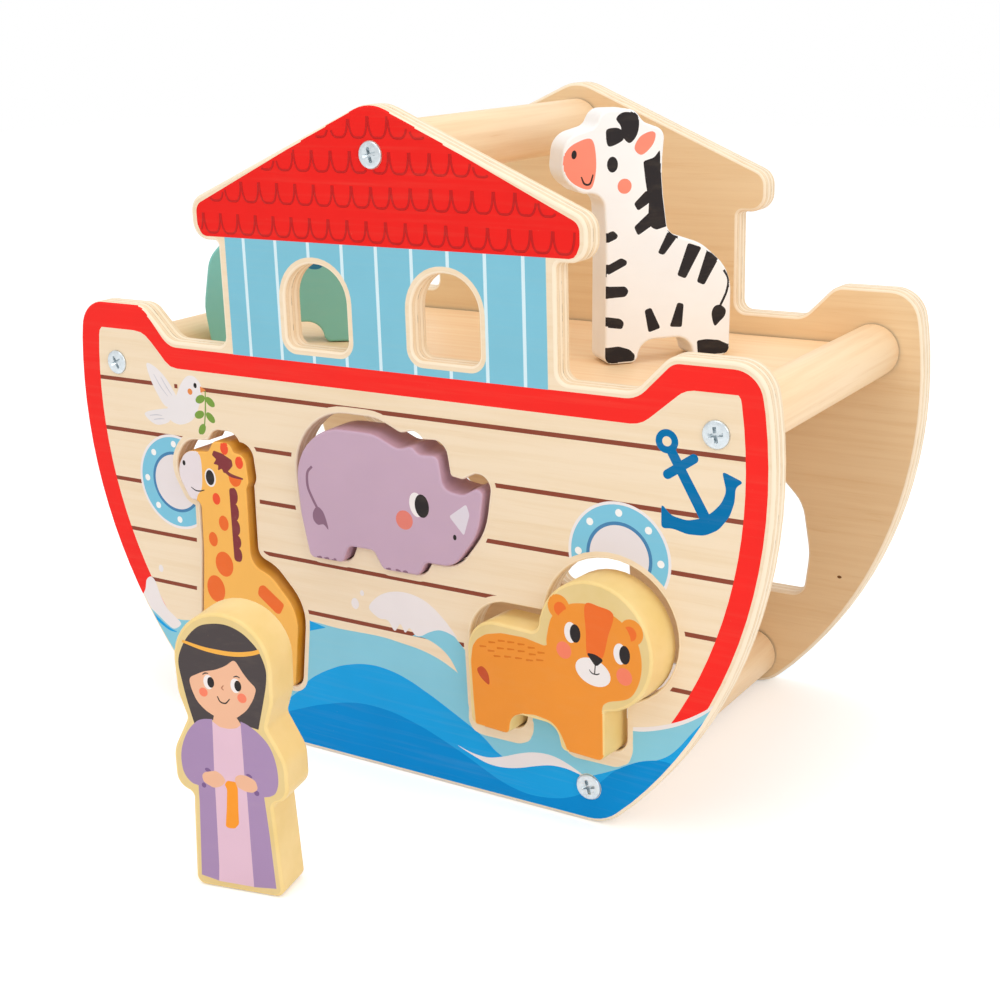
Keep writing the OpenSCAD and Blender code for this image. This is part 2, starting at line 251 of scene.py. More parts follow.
# %% Plywood layers
MIDDLE_LAYER = 3.0
layers, given, out = new_group(
    "plywood_layers", SHADER,
    [("Light", COLOUR, linear("#F9E6CA")), ("Dark", COLOUR, linear("#E9CDA3")),
     ("Line", COLOUR, linear("#A87B4A")), ("Outer face", VALUE, 0.0), ("Layer", VALUE, 0.0015)], SKIN)
sums, ramp, place = partial(maths, layers), partial(spread, layers), object_place(layers)
clouds = partial(noise, layers, place)
across = add(layers, "ShaderNodeSeparateXYZ", {0: place}).outputs[1]
depth = sums("ABSOLUTE", sums("SUBTRACT", across, given["Outer face"]))
wobble = sums("MULTIPLY", sums("SUBTRACT", clouds(90.0), 0.5), 0.34)
count = sums("ADD", sums("DIVIDE", depth, given["Layer"]), sums("ADD", wobble, 0.4))
odd = sums("FLOORED_MODULO", sums("FLOOR", count), 2.0)
in_layer = sums("FRACT", count)
to_line = sums("MINIMUM", in_layer, sums("SUBTRACT", 1.0, in_layer))
glue = sums("MULTIPLY", ramp(to_line, 0.02, 0.12, 1, 0), ramp(clouds(160.0), 0.35, 0.65, 0.05, 0.5))
ends = ramp(clouds(1500.0, 2.0), 0.4, 0.75, 0, 0.55)
tone = sums("MULTIPLY", odd, ramp(clouds(60.0), 0.3, 0.7, 0.35, 0.75))
shade = mixed(layers, tone, given["Light"], given["Dark"])
shade = mixed(layers, sums("MULTIPLY", ends, odd), shade, given["Dark"])
to_middle = sums("ABSOLUTE", sums("SUBTRACT", count, MIDDLE_LAYER))
crack = sums("MULTIPLY", ramp(to_middle, 0.02, 0.1, 0.85, 0), ramp(clouds(240.0), 0.5, 0.6, 0, 1))
finish_group(
    layers, out,
    Color=mixed(layers, crack, mixed(layers, glue, shade, given["Line"]), linear("#4A3020")),
    Roughness=ramp(odd, 0, 1, 0.42, 0.56),
    Height=sums("SUBTRACT", sums("MULTIPLY", ends, 0.4), glue))
print(layers.name, "has", len(layers.nodes), "nodes")

# %% Ink and paint
ink_skin, given, out = new_group(
    "ink_on_wood", SHADER,
    [("Ink", COLOUR, WHITE), ("Wood", COLOUR, linear("#E9CFA6")), ("Stretch", VECTOR, WOOD_STRETCH)], SKIN)
ramp, where = partial(spread, ink_skin), object_place(ink_skin)
fibres = noise(ink_skin, stretched(ink_skin, where, given["Stretch"]), 1.0, 5.0, 0.6)
cloudy = noise(ink_skin, where, 45.0, 2.0)
specks = ramp(noise(ink_skin, where, 900.0, 1.0), 0.75, 0.82, 0, 0.08)
bare = maths(ink_skin, "ADD", ramp(fibres, 0.5, 0.8, 0, 0.035), specks)
tint = tinted(ink_skin, given["Ink"], Value=ramp(cloudy, 0.3, 0.7, 0.975, 1.02))
finish_group(
    ink_skin, out,
    Color=mixed(ink_skin, bare, tint, given["Wood"]),
    Roughness=ramp(cloudy, 0.3, 0.7, 0.44, 0.56),
    Height=maths(ink_skin, "SUBTRACT", fibres, bare))

paint_skin, given, out = new_group("brushed_paint", SHADER, [("Paint", COLOUR, WHITE)], SKIN)
ramp, where = partial(spread, paint_skin), object_place(paint_skin)
cloudy, skin = noise(paint_skin, where, 60.0, 3.0), noise(paint_skin, where, 1400.0, 2.0)
rough = maths(paint_skin, "ADD", cloudy, maths(paint_skin, "MULTIPLY", skin, 0.4))
finish_group(
    paint_skin, out,
    Color=tinted(paint_skin, given["Paint"], Value=ramp(cloudy, 0.3, 0.7, 0.955, 1.03),
                 Saturation=ramp(cloudy, 0.3, 0.7, 1.06, 0.96)),
    Roughness=ramp(rough, 0.5, 0.9, 0.34, 0.5), Height=skin)
print("effects:", [group.name for group in (grain, layers, ink_skin, paint_skin)])

# %% [markdown]
# ## The finishes
# A finish puts one shared effect into a material of its own, with its own colours and depth of relief.
# The shader stays in the material, where an export can read it. Printed finishes take their
# colour from the ink that is stored at each corner of the mesh.

# %% Finishes
RELIEF = 0.0002
COAT_ROUGHNESS = 0.22
PLY_STRETCH = (15, 420, 420)


def finish(name, effect, values, bump, coat=0.0, metallic=0.0, ink=False, gloss=0.3):
    """A material whose colour, roughness and relief come from one of the shared effects."""
    material, tree, shader = new_material(name, {
        "Metallic": metallic, "Coat Weight": coat, "Coat Roughness": COAT_ROUGHNESS,
        "Specular IOR Level": gloss})
    group = add(tree, "ShaderNodeGroup", node_tree=effect)
    for label, value in values.items():
        group.inputs[label].default_value = value
    if ink:
        stored = add(tree, "ShaderNodeAttribute", attribute_name="ink").outputs["Color"]
        tree.links.new(stored, group.inputs["Ink"])
    relief = add(tree, "ShaderNodeBump", {
        "Height": group.outputs["Height"], "Strength": bump, "Distance": RELIEF})
    for socket, source in (("Base Color", group.outputs["Color"]), ("Normal", relief.outputs[0]),
                           ("Roughness", group.outputs["Roughness"])):
        tree.links.new(source, shader.inputs[socket])
    return material


def wood(name, light, dark, stretch, bump=0.12):
    values = {"Light": linear(light), "Dark": linear(dark), "Stretch": stretch}
    return finish(name, grain, values, bump, coat=0.04)


front_low, back_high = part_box("front_panel")[0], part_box("back_panel")[1]
ply_face = wood("plywood_face", "#F3DDBE", "#E7C99C", PLY_STRETCH)
ply_inside = wood("plywood_inside", "#EFD0A4", "#DDB27C", PLY_STRETCH)
deck_wood = wood("deck_wood", "#FBD9AE", "#EDBD87", (13, 300, 300))
dowel_wood = wood("dowel_wood", "#F8D9B0", "#E3B481", (330, 11, 330), 0.2)
front_edge = finish("front_plywood_edge", layers, {"Outer face": front_low.y}, 0.25)
back_edge = finish("back_plywood_edge", layers, {"Outer face": back_high.y}, 0.25)
panel_ink = finish("printed_panel", ink_skin, {}, 0.06, ink=True, gloss=0.08)
figure_ink = finish("printed_figure", ink_skin, {"Stretch": (90, 90, 260)}, 0.05, ink=True, gloss=0.15)
print("panel edges start at", round(front_low.y, 5), round(back_high.y, 5))

# %% [markdown]
# ## Outlines from the CAD model
# The panels and figures are flat boards, so their outlines say all about their shape. The helper finds
# the face that looks one way, and walks round its open edges: the outer edge runs anticlockwise and
# the holes clockwise, so the wood always lies on the left.

# %% Read a flat board's face
SAME_POINT, SAME_PLANE = 2e-6, 2e-5


def face_normal(board, towards):
    """The normal of the largest upright face that looks to -Y (towards -1) or +Y (towards 1)."""
    areas = {}
    for f in board.faces:
        if abs(f.normal.z) < 1e-3 and f.normal.y * towards > 0.3:
            key = (round(f.normal.x, 2), round(f.normal.y, 2))
            areas[key] = areas.get(key, Vector()) + f.normal * f.calc_area()
    return max(areas.values(), key=lambda total: total.length).normalized()


def flat_face(node, towards):
    """A CAD board's outlines in mm on its face, its thickness, and the face's place in space."""
    board = bmesh.new()
    board.from_mesh(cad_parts[node].data)
    bmesh.ops.remove_doubles(board, verts=board.verts[:], dist=SAME_POINT)
    board.normal_update()
    normal = face_normal(board, towards)
    along = Vector((-normal.y, normal.x, 0))
    reach = max(v.co @ normal for v in board.verts)
    thick = (reach - min(v.co @ normal for v in board.verts)) / MM
    board.faces.index_update()
    face = [f for f in board.faces if f.normal @ normal > 0.999
            and all(abs(v.co @ normal - reach) < SAME_PLANE for v in f.verts)]
    numbers = {f.index for f in face}
    follow = {}
    for f in face:
        for corner in f.loops:
            if sum(other.index in numbers for other in corner.edge.link_faces) == 1:
                follow[corner.vert] = corner.link_loop_next.vert
    middle = [v.co @ along for v in follow]
    middle = (min(middle) + max(middle)) / 2
    low = min(v.co.z for v in follow)
    loops = []
    while follow:
        start, walked = next(iter(follow)), []
        while start in follow:
            walked.append(((start.co @ along - middle) / MM, (start.co.z - low) / MM))
            start = follow.pop(start)
        loops.append(np.array(walked))
    loops.sort(key=lambda walk: -np.ptp(walk[:, 0]))
    board.free()
    normal, along = np.array(normal), np.array(along)
    return {"loops": loops, "thick": thick, "normal": normal, "along": along,
            "corner": along * middle + np.array((0, 0, low)) + normal * reach}


FIGURES = ("giraffe", "rhino", "lion", "zebra", "elephant", "woman")
faces = {node: flat_face(node, 1 if node == "back_panel" else -1)
         for node in ("front_panel", "back_panel", *FIGURES)}
for node, face in faces.items():
    print(node, "loops", len(face["loops"]), "thick", round(face["thick"], 2))

# %% [markdown]
# ## Moving an outline inwards
# Sanded edges and the rim round a print both follow the outline at a fixed distance. Each point moves
# along its mitre. Near a sharp corner some points would pass over each other, so these gather at the
# corner, which keeps the number of points the same from ring to ring.


# %% Offset outlines
def stepped(loop, step=1.1):
    """The same outline with points at most one step apart."""
    points = []
    for start, end in zip(loop, np.roll(loop, -1, 0)):
        parts = max(1, math.ceil(np.linalg.norm(end - start) / step))
        points += [start + (end - start) * i / parts for i in range(parts)]
    return np.array(points)


def mitres(loop):
    """The way each point moves for one millimetre inwards."""
    ahead = np.roll(loop, -1, 0) - loop
    ahead /= np.linalg.norm(ahead, axis=1)[:, None]
    side = np.stack([-ahead[:, 1], ahead[:, 0]], 1)
    both = side + np.roll(side, 1, 0)
    return both * 2 / (both * both).sum(1)[:, None]


def moved_in(loop, distance):
    moved = loop + mitres(loop) * distance
    edge = np.roll(loop, -1, 0) - loop
    away = moved[:, None] - loop[None]
    share = np.clip((away * edge).sum(2) / (edge * edge).sum(1), 0, 1)
    gap = np.linalg.norm(away - share[:, :, None] * edge, axis=2).min(1)
    least = distance * 0.998 - 1e-6
    good = np.flatnonzero(gap > least)
    for i in np.flatnonzero(gap <= least):
        spot = np.searchsorted(good, i)
        moved[i] = (moved[good[spot - 1]] + moved[good[spot % len(good)]]) / 2
    return moved


def without_doubles(loop):
    return loop[np.linalg.norm(loop - np.roll(loop, 1, 0), axis=1) > 1e-3]


hull_outline = stepped(faces["front_panel"]["loops"][0])
print("panel outline:", len(hull_outline), "points")

# %% [markdown]
# ## Cutting a picture into cells
# A print is a stack of flat shapes in which the last one drawn hides the others. A constrained Delaunay
# triangulation cuts all shapes at once and says which of them each triangle lies in, so the
# highest of them gives its colour. The board stays one closed solid and needs no picture file.


# %% Cells of a picture
def cells_of(shapes):
    """Triangles of overlapping shapes, each with the numbers of the shapes that it lies in."""
    points, rims = [], []
    for shape in shapes:
        shape = without_doubles(np.asarray(shape, float))
        after = np.roll(shape, -1, 0)
        if (shape[:, 0] * after[:, 1] - shape[:, 1] * after[:, 0]).sum() < 0:
            shape = shape[::-1]
        rims.append(list(range(len(points), len(points) + len(shape))))
        points += [Vector(p) for p in shape]
    corners, _, cells, _, _, owners = delaunay_2d_cdt(points, [], rims, 1, 1e-5)
    return np.array([tuple(c) for c in corners]), cells, [set(o) for o in owners]


def rims_of(corners, cells):
    """The closed rims round a set of triangles. Where a rim touches itself, it is cut in two."""
    sides = {(c[i], c[(i + 1) % 3]) for c in cells for i in range(3)}
    follow = {}
    for a, b in sorted(sides):
        if (b, a) not in sides:
            follow.setdefault(a, []).append(b)
    rims = []
    while follow:
        walked = [next(iter(follow))]
        while walked:
            last = walked[-1]
            ahead = follow[last].pop()
            if not follow[last]:
                del follow[last]
            if ahead not in walked:
                walked.append(ahead)
                continue
            spot = walked.index(ahead)
            rims.append(corners[walked[spot:]])
            walked = walked[:spot + 1] if spot else []
    return rims


def picture(rim, holes, drawing):
    """The picture's triangles inside a rim and outside the holes, with an ink name or None for each."""
    shapes = [rim] + [shape for _, shape in drawing] + holes
    corners, cells, owners = cells_of(shapes)
    kept, inks = [], []
    for cell, owner in zip(cells, owners):
        if 0 in owner and max(owner) <= len(drawing):
            kept.append(cell)
            inks.append(drawing[max(owner) - 1][0] if max(owner) else None)
    return corners, kept, inks


# %% Ink at a point
def lies_in(shape, points):
    """Which points lie in a shape: a line to the right of these crosses the rim an odd number of times."""
    a, b = np.asarray(shape, float), np.roll(shape, -1, 0)
    s, z = points[:, :1], points[:, 1:]
    meets = a[:, 0] + (z - a[:, 1]) * (b[:, 0] - a[:, 0]) / (b[:, 1] - a[:, 1] + 1e-12)
    return (((a[:, 1] > z) != (b[:, 1] > z)) & (s < meets)).sum(1) % 2 == 1


def top_inks(drawing, points):
    """The ink that is drawn last at each point."""
    inks = np.full(len(points), None)
    for ink, shape in drawing:
        inks[lies_in(shape, points)] = ink
    return inks


# %% [markdown]
# ## A board with sanded edges
# The real boards are sawn from plywood and sanded round. A quarter circle of rings leads from the
# side to each face, the picture's cells fill the face, and a plain rim joins the two. Some inks run
# over the sanded edge, as they do where a board is cut close to its print.
# Exact normals are stored, so the round edge runs into the flat face without a crease.

# %% A board's faces
EDGE, FRONT, BACK, INK = range(4)


class BoardFaces:
    """The corners and faces of a board, collected ring by ring from points in mm on its front."""

    def __init__(self, face, inks):
        self.face, self.inks = face, inks
        self.corners, self.leans, self.polygons, self.slots, self.colours = [], [], [], [], []

    def in_space(self, s, z, out):
        return self.face["along"] * s + np.array((0, 0, z)) + self.face["normal"] * out

    def ring(self, points, depth, leans):
        """Adds points at a depth, with the way that their normals lean, and gives the first one's number."""
        start = len(self.corners)
        for (s, z), lean in zip(points, leans):
            self.corners.append(self.face["corner"] + MM * self.in_space(s, z, -depth))
            self.leans.append(self.in_space(*lean))
        return start

    def polygon(self, points, slot=EDGE, ink=None):
        self.polygons.append(points)
        self.slots.append(INK if ink else slot)
        self.colours.append(linear(self.inks[ink]) if ink else WHITE)

    def bridge(self, behind, before, count, inks=None):
        for i in range(count):
            j = (i + 1) % count
            points = (behind + i, behind + j, before + j, before + i)
            self.polygon(points, ink=inks[i] if inks else None)

    def flat(self, points, cells, inks, depth, out, slot):
        """Adds cells of the front (out 1) or the back (out -1)."""
        start = self.ring(points, depth, np.tile((0, 0, out), (len(points), 1)))
        for cell, ink in zip(cells, inks):
            self.polygon([start + i for i in cell[::out]], slot, ink)


# %% Holes and edges of a board
SAND_STEPS, BARE_STEPS = 5, 2
SCREW_HOLE_MAX, HOLE_POINTS = 12, 24
SHANK_HOLE, COUNTERSINK = 2.1, 2.6
HEAD_MARGIN, SHANK_MARGIN, INNER_MARGIN = 0.08, 0.3, 0.05


def turns(count):
    return np.linspace(0, math.tau, count, endpoint=False)


def is_screw_hole(loop):
    return np.ptp(loop[:, 0]) < SCREW_HOLE_MAX


def middle_of(loop):
    return (loop.max(0) + loop.min(0)) / 2


def screw_hole(parts, loop):
    """A countersunk hole. Gives its rim and the start of the print round it, each on front and back."""
    spokes = np.array([(math.cos(a), -math.sin(a)) for a in turns(HOLE_POINTS)])
    middle, radius = middle_of(loop), np.ptp(loop[:, 0]) / 2
    wide, narrow = middle + spokes * radius, middle + spokes * SHANK_HOLE
    first = parts.ring(wide, 0, np.tile((0, 0, 1), (HOLE_POINTS, 1)))
    second = parts.ring(narrow, COUNTERSINK, np.c_[-spokes, np.zeros(HOLE_POINTS)])
    third = parts.ring(narrow, parts.face["thick"], np.tile((0, 0, -1), (HOLE_POINTS, 1)))
    parts.bridge(second, first, HOLE_POINTS)
    parts.bridge(third, second, HOLE_POINTS)
    margins = (radius + HEAD_MARGIN, SHANK_HOLE + SHANK_MARGIN)
    return (wide, narrow), tuple(middle + spokes * margin for margin in margins)


def sanded_edge(parts, loop, sand, rim, wrapped=None):
    """An edge with its two quarter rounds. Gives what screw_hole gives. wrapped: the inks on the rounds."""
    loop = stepped(loop)
    outward = -mitres(loop)
    outward /= np.linalg.norm(outward, axis=1)[:, None]
    made, flat = {1: [], -1: []}, []
    for angle in np.linspace(0, math.pi / 2, SAND_STEPS + 1):
        flat.append(moved_in(loop, sand * (1 - math.cos(angle))))
        down = sand * (1 - math.sin(angle))
        for side in (1, -1):
            leans = np.c_[outward * math.cos(angle), np.full(len(loop), side * math.sin(angle))]
            made[side].append(parts.ring(flat[-1], down if side == 1 else parts.face["thick"] - down, leans))
    parts.bridge(made[-1][0], made[1][0], len(loop))
    for step in range(SAND_STEPS):
        low, high = flat[step], flat[step + 1]
        middles = np.mean([low, high, np.roll(low, -1, 0), np.roll(high, -1, 0)], 0)
        shown = step >= BARE_STEPS and wrapped
        parts.bridge(made[1][step], made[1][step + 1], len(loop), shown and wrapped(FRONT, middles))
        parts.bridge(made[-1][step + 1], made[-1][step], len(loop), shown and wrapped(BACK, middles))
    return (flat[-1], flat[-1]), (moved_in(loop, rim), moved_in(loop, sand + INNER_MARGIN))


# %% Board builder
BOARD_SEAM = 3e-6


@contextmanager
def edited(mesh):
    """A bmesh of a mesh, which is written back at the end."""
    work = bmesh.new()
    work.from_mesh(mesh)
    yield work
    work.to_mesh(mesh)
    work.free()


def board_piece(name, parts, finishes):
    """The collected faces as one closed mesh with its inks and exact normals."""
    mesh = bpy.data.meshes.new(name)
    mesh.from_pydata(parts.corners, [], parts.polygons)
    mesh.polygons.foreach_set("material_index", parts.slots)
    colours = np.repeat(np.array(parts.colours), [len(p) for p in parts.polygons], 0)
    mesh.attributes.new("ink", "FLOAT_COLOR", "CORNER").data.foreach_set("color", colours.ravel())
    leans = mesh.attributes.new("lean", "FLOAT_VECTOR", "POINT")
    leans.data.foreach_set("vector", np.array(parts.leans).ravel())
    with edited(mesh) as work:
        bmesh.ops.remove_doubles(work, verts=work.verts[:], dist=BOARD_SEAM)
        loose = [v for v in work.verts if not v.link_faces]
        bmesh.ops.delete(work, geom=loose, context="VERTS")
        open_edges = sum(not e.is_manifold for e in work.edges)
    for material in finishes:
        mesh.materials.append(material)
    lean = np.zeros(len(mesh.vertices) * 3)
    mesh.attributes["lean"].data.foreach_get("vector", lean)
    mesh.attributes.remove(mesh.attributes["lean"])
    mesh.shade_smooth()
    mesh.normals_split_custom_set_from_vertices(lean.reshape(-1, 3).tolist())
    print(name, "faces", len(mesh.polygons), "open edges", open_edges)
    return linked(name, mesh)


def in_rim(owner, limits):
    """Whether a cell lies in the board, between its edges and the printed area."""
    printed = sum(number >= limits for number in owner) % 2
    return 0 in owner and not printed and not any(0 < number < limits for number in owner)


def board(name, node, sands, rims, front, back, finishes, inks, wraps=()):
    """A board after a CAD node. sands, rims: at its edge and in holes. finishes: edge, front, back, ink."""
    face, drawings = faces[node], {FRONT: front, BACK: back}
    parts = BoardFaces(face, inks)

    def wrapped(side, points):
        return [ink if ink in wraps else None for ink in top_inks(drawings[side], points)]

    edges = [sanded_edge(parts, face["loops"][0], sands[0], rims[0], wrapped)]
    for loop in face["loops"][1:]:
        edges.append(screw_hole(parts, loop) if is_screw_hole(loop)
                     else sanded_edge(parts, loop, sands[1], rims[1]))
    for number, (side, depth, out) in enumerate(((FRONT, 0, 1), (BACK, face["thick"], -1))):
        limits, margins = [[edge[i][number] for edge in edges] for i in (0, 1)]
        at, cells, cell_inks = picture(margins[0], margins[1:], drawings[side])
        parts.flat(at, cells, cell_inks, depth, out, side)
        at, cells, owners = cells_of(limits + rims_of(at, cells))
        rim_cells = [cell for cell, owner in zip(cells, owners) if in_rim(owner, len(limits))]
        parts.flat(at, rim_cells, wrapped(side, at[rim_cells].mean(1)), depth, out, side)
    return board_piece(name, parts, finishes)


# %% [markdown]
# ## Drawing with simple shapes
# All pictures are drawn in millimetres on the board's face: along it from its middle, and up from its
# lowest edge. Ovals, smooth outlines through a few points, ribbons that taper, and bars with round
# ends are enough for faces, spots, stripes and waves.


# %% Shapes
def oval(s, z, wide, high=None, turn=0, count=28):
    a = turns(count)
    points = np.c_[wide * np.cos(a), (wide if high is None else high) * np.sin(a)]
    c, d = math.cos(math.radians(turn)), math.sin(math.radians(turn))
    return points @ np.array([[c, d], [-d, c]]) + (s, z)


def smooth(points, closed=True, steps=6):
    """A smooth line through points (Catmull-Rom)."""
    p = np.array(points, float)
    p = np.r_[p[-1:], p, p[:2]] if closed else np.r_[2 * p[:1] - p[1:2], p, 2 * p[-1:] - p[-2:-1]]
    line = []
    for a, b, c, d in zip(p, p[1:], p[2:], p[3:]):
        for t in np.arange(steps) / steps:
            line.append(0.5 * (2 * b + (c - a) * t + (2 * a - 5 * b + 4 * c - d) * t ** 2
                               + (3 * b - a - 3 * c + d) * t ** 3))
    return np.array(line if closed else line + [p[-2]])


def soft(points, radius):
    """A polygon with each corner rounded."""
    p = np.array(points, float)
    done = []
    for before, corner, after in zip(np.roll(p, 1, 0), p, np.roll(p, -1, 0)):
        reach = min(radius, np.linalg.norm(before - corner) * 0.45, np.linalg.norm(after - corner) * 0.45)
        a = corner + (before - corner) / np.linalg.norm(before - corner) * reach
        b = corner + (after - corner) / np.linalg.norm(after - corner) * reach
        done += [(1 - t) ** 2 * a + 2 * t * (1 - t) * corner + t ** 2 * b for t in np.linspace(0, 1, 6)]
    return np.array(done)


def ribbon(points, widths):
    """A band along a smooth line, with its width given at even steps."""
    line = smooth(points, closed=False)
    ahead = np.gradient(line, axis=0)
    side = np.c_[-ahead[:, 1], ahead[:, 0]] / np.linalg.norm(ahead, axis=1)[:, None]
    half = np.interp(np.linspace(0, 1, len(line)), np.linspace(0, 1, len(widths)), widths) / 2
    return np.r_[line + side * half[:, None], (line - side * half[:, None])[::-1]]


def bar(start, end, wide, wide_end=None):
    """A straight stroke with round ends."""
    start, end = np.array(start, float), np.array(end, float)
    turn = math.atan2(*(end - start)[::-1])
    half = [(start, wide / 2, turn + math.pi / 2), (end, (wide_end or wide) / 2, turn - math.pi / 2)]
    return np.array([middle + radius * np.array((math.cos(a), math.sin(a)))
                     for middle, radius, first in half for a in np.linspace(first, first + math.pi, 9)])


def patch(s0, z0, s1, z1):
    return np.array([(s0, z0), (s1, z0), (s1, z1), (s0, z1)], float)


print("points in an oval and a bar:", len(oval(0, 0, 1)), len(bar((0, 0), (1, 0), 1)))

# %% [markdown]
# ## Strips that repeat
# The hull's plank lines and the deck house's white board lines are one strip repeated at an even
# step. A Geometry Nodes tree sets the strips along a line of points, and their corners are read back
# as shapes of the picture, so that windows and holes cut them like everything else.

# %% Strip tree
GEOMETRY, SHAPE = "GeometryNodeTree", "NodeSocketGeometry"
WHOLE, MATERIAL = "NodeSocketInt", "NodeSocketMaterial"


def end_tree(tree, shape, material, out):
    """The last nodes of every tree here: real meshes with a material."""
    real = add(tree, "GeometryNodeRealizeInstances", {0: shape})
    inked = add(tree, "GeometryNodeSetMaterial", {"Geometry": real.outputs[0], "Material": material})
    tree.links.new(inked.outputs[0], out.inputs[0])


strip_tree, given, out = new_group(
    "strip_row", GEOMETRY,
    [("Count", WHOLE, 5), ("First", VECTOR, (0, 0, 0)), ("Step", VECTOR, (0, 1, 0)), ("Length", VALUE, 1.0),
     ("Width", VALUE, 0.1), ("Material", MATERIAL, None)], [("Geometry", SHAPE)])
row = add(strip_tree, "GeometryNodeMeshLine", {
    "Count": given["Count"], "Start Location": given["First"], "Offset": given["Step"]})
strip = add(strip_tree, "GeometryNodeMeshGrid", {
    "Size X": given["Length"], "Size Y": given["Width"], "Vertices X": 2, "Vertices Y": 2})
strips = add(strip_tree, "GeometryNodeInstanceOnPoints", {
    "Points": row.outputs[0], "Instance": strip.outputs[0]})
end_tree(strip_tree, strips.outputs[0], given["Material"], out)
print(strip_tree.name, "has", len(strip_tree.nodes), "nodes")


# %% Strips as shapes
def grown(name, tree, values, base=None):
    """The plain mesh object that a Geometry Nodes tree makes."""
    piece = linked(name, base or bpy.data.meshes.new(name))
    modifier = piece.modifiers.new("nodes", "NODES")
    modifier.node_group = tree
    for item in tree.interface.items_tree:
        if item.in_out == "INPUT" and item.name in values:
            modifier[item.identifier] = values[item.name]
    made = bpy.data.meshes.new_from_object(piece.evaluated_get(bpy.context.evaluated_depsgraph_get()))
    piece.modifiers.remove(modifier)
    piece.data = made
    made.name = name
    return piece


def strip_shapes(count, first, step, length, width):
    piece = grown("strips", strip_tree, {
        "Count": count, "First": (*first, 0.0), "Step": (*step, 0.0), "Length": length, "Width": width,
        "Material": panel_ink})
    corners = piece.data.vertices
    shapes = [np.array([corners[i].co[:2] for i in p.vertices]) for p in piece.data.polygons]
    bpy.data.objects.remove(piece)
    return shapes


plank_lines = strip_shapes(5, (0.0, 55.4), (0.0, 20.0), 290.0, 1.6)
board_lines = strip_shapes(9, (-57.5, 171.25), (14.4, 0.0), 1.3, 42.3)
print("plank lines", len(plank_lines), "board lines", len(board_lines))

# %% [markdown]
# ## The picture on the sides
# A red band runs along the hull, round the bow and under the house. Inside it the bare wood shows, with
# brown plank lines, two portholes, an anchor and a dove with a twig. Below lie three blues of
# water with white crests. The house is light blue and its roof red.

# %% Inks and sizes of the print
PANEL_INK = {"red": "#F72C26", "roof": "#EE241F", "house": "#80C2D6", "line": "#F7F4F0",
             "board line": "#D8EEF4", "plank": "#8C4836", "water": "#8ACBDD", "mid water": "#1AA2E2",
             "deep water": "#008CD2", "foam": "#EFE6E4", "ring": "#7FC4DC", "ring edge": "#4B83AE",
             "glass": "#E8DEDD", "anchor": "#0070A8", "dove": "#ECE5E4", "feather": "#CFCBD0",
             "black": "#262222", "beak": "#E58A4C", "leaf": "#7C9F46", "knot": "#7A5232"}
HULL_MIDDLE = (-26.5, 129.0)
BAND_RADIUS = 161.4
PLANK_RADIUS = (BAND_RADIUS + 168) / 2
SHEER_LOW, HOUSE_LOW, HOUSE_HIGH = 140, 150.1, 192.4
PRINT_MARGIN = 2.3
STERN_MARGIN = 0.3
PLANK_STOP = 2.6
SHEER_FADE, SHEER_STOP = (96, 112), 74
ROOF_MARGIN, ROOF_LEAN, EAVES_TOP = 0.1, 0.031, 195.6
BAND_INSIDE = {1: [(132.9, 153.8), (132.1, 154.9), (117.5, 154.9), (115.2, 154.5), (113.2, 153.6),
                   (112, 152.7), (102.2, 144.6), (100.2, 143.3), (98, 142.5), (95.5, 142.2)],
               -1: [(132.7, 153.9), (131.6, 155.1), (115, 155.1), (111.3, 154.6), (109.2, 153.6),
                    (106.7, 151.5), (103.4, 148.1), (100.2, 144.6), (97.7, 142.8), (94.4, 142.2)]}
print("inks of the print:", len(PANEL_INK))


# %% Porthole, anchor and dove
def porthole(s, z):
    rings = [("foam", 18.7), ("ring", 17.7), ("ring edge", 12.0), ("glass", 10.8)]
    dots = [("line", oval(s + 15 * math.cos(a), z + 15 * math.sin(a), 1.3, count=12)) for a in turns(8)]
    return [(ink, oval(s, z, r, count=64)) for ink, r in rings] + dots


def anchor():
    flukes = [(106.5, 117.7), (110, 114.2), (115.5, 113.3), (120, 114.6), (123.8, 117), (127, 120.5),
              (128.6, 124.5), (127, 130.8), (134.3, 128.1), (131.6, 126.2), (131.4, 121.5), (129.8, 116.6),
              (126.2, 111.8), (121.5, 109.2), (115.5, 108.8), (110.5, 110), (106.5, 109.5)]
    return [("anchor", shape)
            for shape in (soft(flukes, 1.6), bar((109.6, 135.6), (123, 112.5), 3.3, 3.9),
                          bar((108.6, 127.4), (117.6, 133.5), 3.1),
                          oval(108.4, 138, 3.9))] + [(None, oval(108.4, 138, 1.6))]


